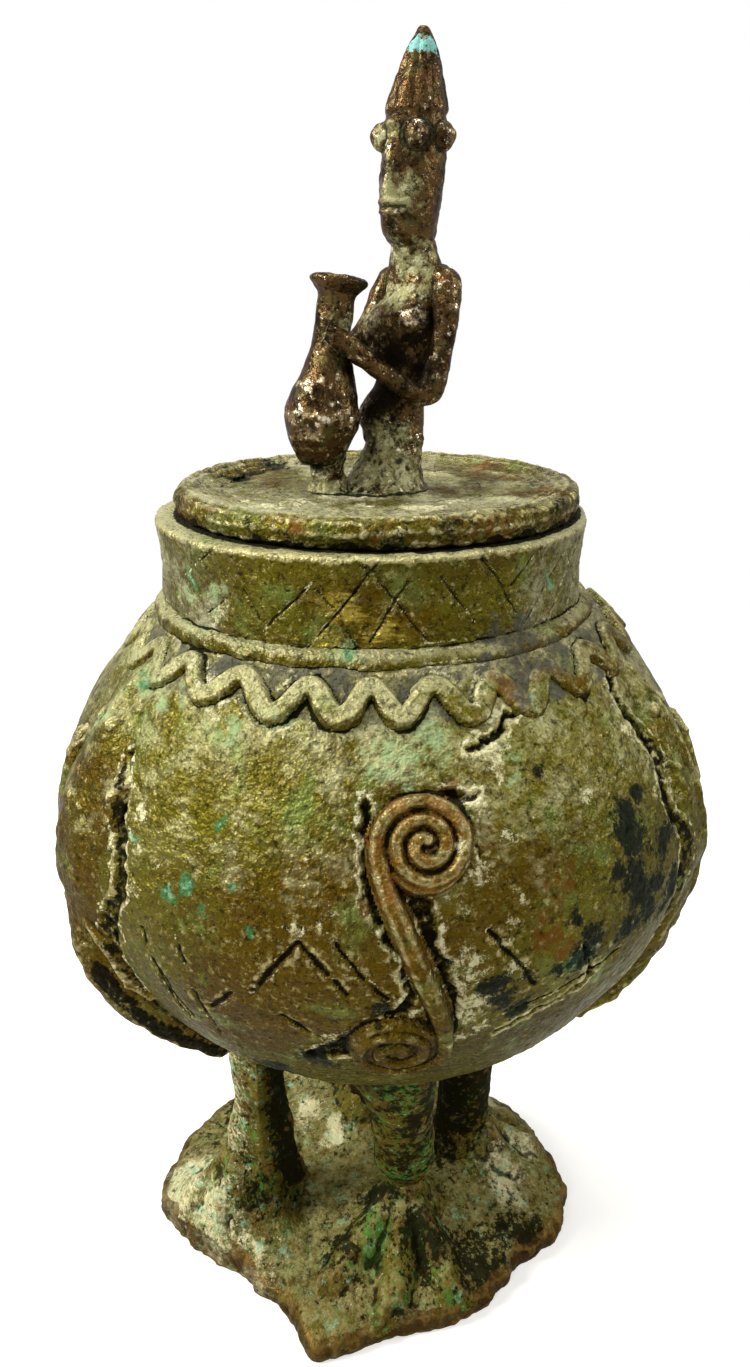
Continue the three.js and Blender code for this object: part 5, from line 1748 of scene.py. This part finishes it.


# Bronze cast in wax-formed moulds and buried: an olive patina, polished thin on the bulges, with green
# corrosion, black hollows and cream lime crust along every crevice; the black in hollows, crevices and cracks
# is partly painted shade, and the bulges and tops carry painted highlights and painted top light
olivePatina = {
    "ground": "#575012",
    "roughness": 0.28,
    "metallic": 0.45,
    "shine": 0.06,
    "edgeTint": "#7a7350",
    "stretch": (1, 1, 5),
    "seed": 1,
    "grit": [(2.2, 0.6), (1.1, 0.5), (0.6, 0.24)],
    "layers": [
        ("#3a2e08", "", 0, 30, 0.45, 0.66, 0.75, 5, 0.65, None, None),
        ("#716c36", "", 0, 20, 0.5, 0.7, 0.6, 4, 0.65, None, None),
        ("#4c5420", "", 0, 14, 0.53, 0.7, 0.55, 4, 0.65, None, None),
        ("#4c3906", "amber", 0.5, 14, 0.55, 0.9, 0.85, 5, 0.65, 0.38, 0.5),
        ("#6b5334", "", 0, 6, 0.53, 0.72, 0.5, 5, 0.65, None, None, "drawn"),
        # dust and painted top light on what faces up
        ("#adaa7c", "dust", 0.5, 8, 0.67, 1.08, 0.72, 3, 0.65, 0.48, 0.2),
        ("#66793c", "", 0, 11, 0.52, 0.7, 0.6, 5, 0.65, None, 0.2),
        ("#7c6c1e", "gold", 0.45, 5, 0.62, 0.95, 0.55, 5, 0.65, 0.34, 0.6, "drawn"),
        ("#a3913f", "gold", 0.4, 3, 0.72, 0.9, 0.6, 4, 0.65, 0.3, 0.6, "drawn"),
        # pale speckles, partly painted glints
        ("#b3a96e", "", 0, 1.7, 0.52, 0.72, 0.6, 5, 0.8, None, None),
        ("#171305", "", 0, 1.5, 0.5, 0.65, 0.85, 5, 0.8, None, None),
        # black in the dips: dirt and painted shade
        ("#1c1806", "hollow", 0.5, 1.8, 0.68, 0.98, 0.75, 5, 0.65, None, None),
        ("#120f05", "", 0, 4.5, 0.61, 0.68, 0.7, 6, 0.75, None, None),
        # pale on what stands out: wear and painted highlights
        ("#b1a878", "rub", 0.45, 2.2, 0.74, 1.04, 0.6, 5, 0.65, 0.36, 0.6),
        ("#7f5a26", "warm", 0.5, 4, 0.62, 1.0, 0.75, 5, 0.65, 0.34, 0.55),
        ("#92ab78", "film", 0.3, 3, 0.68, 0.86, 0.65, 6, 0.75, 0.8, 0.0),
        ("#2f6a3f", "mint", 0.45, 2.5, 0.7, 0.84, 0.7, 5, 0.7, 0.7, 0.0),
        ("#7ca680", "mint", 0.36, 1.8, 0.76, 0.88, 0.75, 6, 0.75, 0.8, 0.0),
        ("#64380d", "rust", 0.4, 1.8, 0.72, 0.9, 0.7, 5, 0.75, 0.7, 0.1),
        ("#4b4a42", "slate", 0.45, 2.4, 0.68, 0.95, 0.85, 5, 0.75, 0.75, 0.1),
        ("#cdc79c", "cream", 0.28, 1.7, 0.7, 0.8, 0.9, 6, 0.85, 0.9, 0.0),
        ("#d2cda4", "fringe", 0.34, 1.6, 0.78, 0.9, 0.8, 5, 0.75, 0.9, 0.0),
        ("#9c987a", "ash", 0.4, 2.2, 0.68, 1.0, 0.8, 6, 0.8, 0.6, 0.15),
        ("#2e2a12", "", 0, 1.2, 0.56, 0.66, 0.6, 4, 0.8, None, None),
        ("#111712", "soot", 0.4, 1.8, 0.67, 0.77, 0.95, 6, 0.85, 0.7, 0.0),
        # near-black crevices, cuts and cracks: dirt and painted shade
        ("#0d0c06", "crevice", 0.7, 1.6, 0.84, 1.02, 0.95, 5, 0.7, 0.8, 0.0),
    ],
}
# The same bronze under a heavy burial crust: grey-green and cream grains over brown metal, with painted light
# and painted shade in its pale and dark marks
crustedPatina = {
    "ground": "#564c18",
    "roughness": 0.62,
    "metallic": 0.15,
    "shine": 0.04,
    "edgeTint": "#7a7350",
    "stretch": (1, 1, 3),
    "seed": 2,
    "grit": [(2.2, 0.5), (1.2, 0.4), (0.6, 0.16)],
    "layers": [
        ("#2a230c", "", 0, 16, 0.46, 0.62, 0.7, 5, 0.65, None, None),
        ("#543d16", "", 0, 12, 0.52, 0.66, 0.7, 4, 0.65, None, 0.4),
        ("#3d5522", "", 0, 8, 0.53, 0.66, 0.6, 5, 0.65, None, None),
        # dust and painted top light on what faces up
        ("#a39c66", "dust", 0.3, 2.6, 0.64, 0.94, 0.6, 6, 0.75, 0.8, 0.0),
        # pale rows: lime crust and painted light
        ("#cdc596", "pale", 0.45, 1.6, 0.62, 0.86, 0.9, 6, 0.8, 0.85, 0.0),
        ("#3f7a32", "moss", 0.1, 4, 0.57, 0.69, 0.65, 6, 0.8, None, None),
        ("#7fae8a", "pale", 0.07, 4.5, 0.56, 0.66, 0.6, 6, 0.75, 0.9, 0.0),
        ("#dad5b0", "pale", 0.12, 1.7, 0.62, 0.72, 0.8, 4, 0.75, 0.9, 0.0),
        # black crust and painted shade
        ("#0f0f07", "dark", 0.24, 1.9, 0.56, 0.65, 0.92, 4, 0.75, 0.85, 0.0),
        # black in the dips: dirt and painted shade
        ("#15130a", "hollow", 0.5, 1.6, 0.66, 0.92, 0.8, 5, 0.65, None, None),
        ("#402c10", "side", 0.4, 3, 0.68, 0.95, 0.8, 5, 0.75, 0.3, 0.6),
        # wear and painted highlights on what stands out
        ("#7d6332", "rub", 0.45, 2.4, 0.8, 1.05, 0.45, 5, 0.65, 0.42, 0.5),
        # near-black crevices: dirt and painted shade
        ("#0b0b06", "crevice", 0.6, 1.8, 0.8, 1.05, 0.92, 4, 0.65, 0.85, 0.0),
    ],
}
# The figure has been handled: dark brown metal with a dull shine and painted highlights on every bump, and green
# earth and painted black shade in the hollows
brownPatina = {
    "ground": "#4d3a20",
    "roughness": 0.22,
    "metallic": 0.6,
    "shine": 0.2,
    "edgeTint": "#8a7a5a",
    "stretch": (1, 1, 1),
    "seed": 3,
    "grit": [(1.8, 0.3), (1, 0.26), (0.55, 0.12)],
    "layers": [
        ("#1d150b", "", 0, 7, 0.45, 0.62, 0.85, 5, 0.65, None, None),
        ("#54502c", "", 0, 5, 0.5, 0.68, 0.6, 5, 0.65, 0.5, 0.3),
        ("#5a2c1a", "", 0, 5, 0.56, 0.68, 0.45, 4, 0.65, None, None),
        # wear and painted highlights on what stands out
        ("#9c8560", "rub", 0.5, 1.8, 0.74, 1.05, 0.65, 5, 0.65, 0.26, 0.8),
        ("#9c9a68", "earth", 0.34, 3.2, 0.64, 0.86, 0.8, 5, 0.75, 0.7, 0.1),
        ("#0c0703", "", 0, 1.6, 0.5, 0.62, 0.88, 5, 0.75, None, None),
        # painted highlights: pale glints on what stands out
        ("#dcd2b8", "rub", 0.16, 1.1, 0.65, 0.74, 0.75, 4, 0.75, 0.24, 0.75),
        ("#c3c09a", "earth", 0.2, 1.8, 0.68, 0.78, 0.8, 5, 0.75, 0.9, 0.0),
        ("#7f8a62", "crevice", 0.45, 2.6, 0.64, 0.84, 0.65, 5, 0.75, 0.85, 0.0),
        # black in the dips: dirt and painted shade
        ("#0c0804", "hollow", 0.5, 1.4, 0.64, 0.92, 0.85, 5, 0.65, None, None),
        ("#070503", "shade", 0.4, 2, 0.66, 0.84, 0.93, 5, 0.75, 0.8, 0.0),
        # near-black crevices: dirt and painted shade
        ("#0a0804", "crevice", 0.6, 1.6, 0.85, 1.1, 0.95, 4, 0.65, 0.8, 0.0),
        ("#86c5bb", "tip", 0.32, 2, 0.7, 0.8, 0.8, 5, 0.75, 0.85, 0.0),
    ],
}
finishes = {
    "olive_bronze": patina("castBronzeOlivePatina", olivePatina),
    "crusted_bronze": patina("castBronzeBurialCrust", crustedPatina),
    "brown_bronze": patina("castBronzeHandledBrown", brownPatina),
}
for finishedPiece in pieces:
    finishedPiece["obj"].data.materials.append(finishes[finishedPiece["slot"]])
print("finishes set")


# Studio: a pale floor that fades into a white room, a wide soft light from the upper left, one overhead
# and weaker ones from the right and the front
studio = {
    "floorColour": "#d6d4cd",
    "floorReach": 1.6,
    "fadeFrom": 0.2,
    "fadeTo": 0.75,
    "floorGlow": 0.5,
    "roomLight": 0.25,
    "lights": [  # name, place, size and power
        ("key", (-1.0, -0.2, 0.95), 0.5, 23),
        ("top", (0.0, 0.2, 1.3), 0.5, 10),
        ("right", (1.0, -0.1, 0.75), 0.5, 6.2),
        ("front", (-0.55, -1.0, 0.9), 0.25, 3.4),
    ],
    "aim": (0, 0, 0.17),
}


def seenRays(tree):
    # rays from the camera and off or through shiny surfaces see the room as white
    path = addNode(tree, "LightPath")
    seen = path.outputs["Is Camera Ray"]
    for kind in ("Is Glossy Ray", "Is Transmission Ray"):
        seen = addNode(tree, "Math", {0: seen, 1: path.outputs[kind]}, operation="MAXIMUM").outputs[0]
    return seen


def addFloor():
    reach = studio["floorReach"]
    mesh = bpy.data.meshes.new("floor")
    corners = [(-reach, -reach, 0), (reach, -reach, 0), (reach, reach, 0), (-reach, reach, 0)]
    mesh.from_pydata(corners, [], [(0, 1, 2, 3)])
    floor = addObject("floor", mesh)
    material = bpy.data.materials.new("palePaperSweep")
    tree = emptyTree(material)
    seen = seenRays(tree)
    place = addNode(tree, "TexCoord").outputs["Object"]
    away = addNode(tree, "VectorMath", {0: place}, operation="LENGTH").outputs["Value"]
    fade = addNode(tree, "MapRange", {
        "Value": away, "From Min": studio["fadeFrom"], "From Max": studio["fadeTo"],
    }, interpolation_type="SMOOTHSTEP")
    fade = addNode(tree, "Math", {0: fade.outputs[0], 1: seen}, operation="MULTIPLY").outputs[0]
    glow = addNode(tree, "Math", {0: seen, 1: studio["floorGlow"]}, operation="MULTIPLY").outputs[0]
    paper = addNode(tree, "BsdfPrincipled", {
        "Base Color": toLinear(studio["floorColour"]), "Roughness": 0.9, "Emission Color": toLinear("#ffffff"),
        "Emission Strength": glow})
    white = addNode(tree, "Emission", {"Color": toLinear("#ffffff"), "Strength": 1.0})
    mixed = addNode(tree, "MixShader", {0: fade, 1: paper.outputs[0], 2: white.outputs[0]})
    addNode(tree, "OutputMaterial", {"Surface": mixed.outputs[0]})
    mesh.materials.append(material)


def addStudio():
    addFloor()
    world = bpy.data.worlds.new("whiteRoom")
    bpy.context.scene.world = world
    tree = emptyTree(world)
    strength = addNode(tree, "Mix", {0: seenRays(tree), 2: studio["roomLight"], 3: 1.0}).outputs[0]
    room = addNode(tree, "Background", {"Color": toLinear("#ffffff"), "Strength": strength})
    addNode(tree, "OutputWorld", {"Surface": room.outputs[0]})
    for name, place, size, watts in studio["lights"]:
        data = bpy.data.lights.new(name, "AREA")
        data.size = size
        data.energy = watts
        light = addObject(name, data)
        light.location = place
        aim = np.array(studio["aim"]) - np.array(place)
        level = math.hypot(aim[0], aim[1])
        light.rotation_euler = (math.atan2(level, -aim[2]), 0, math.atan2(aim[1], aim[0]) - math.pi / 2)
    bpy.context.scene.view_settings.view_transform = "Standard"


addStudio()
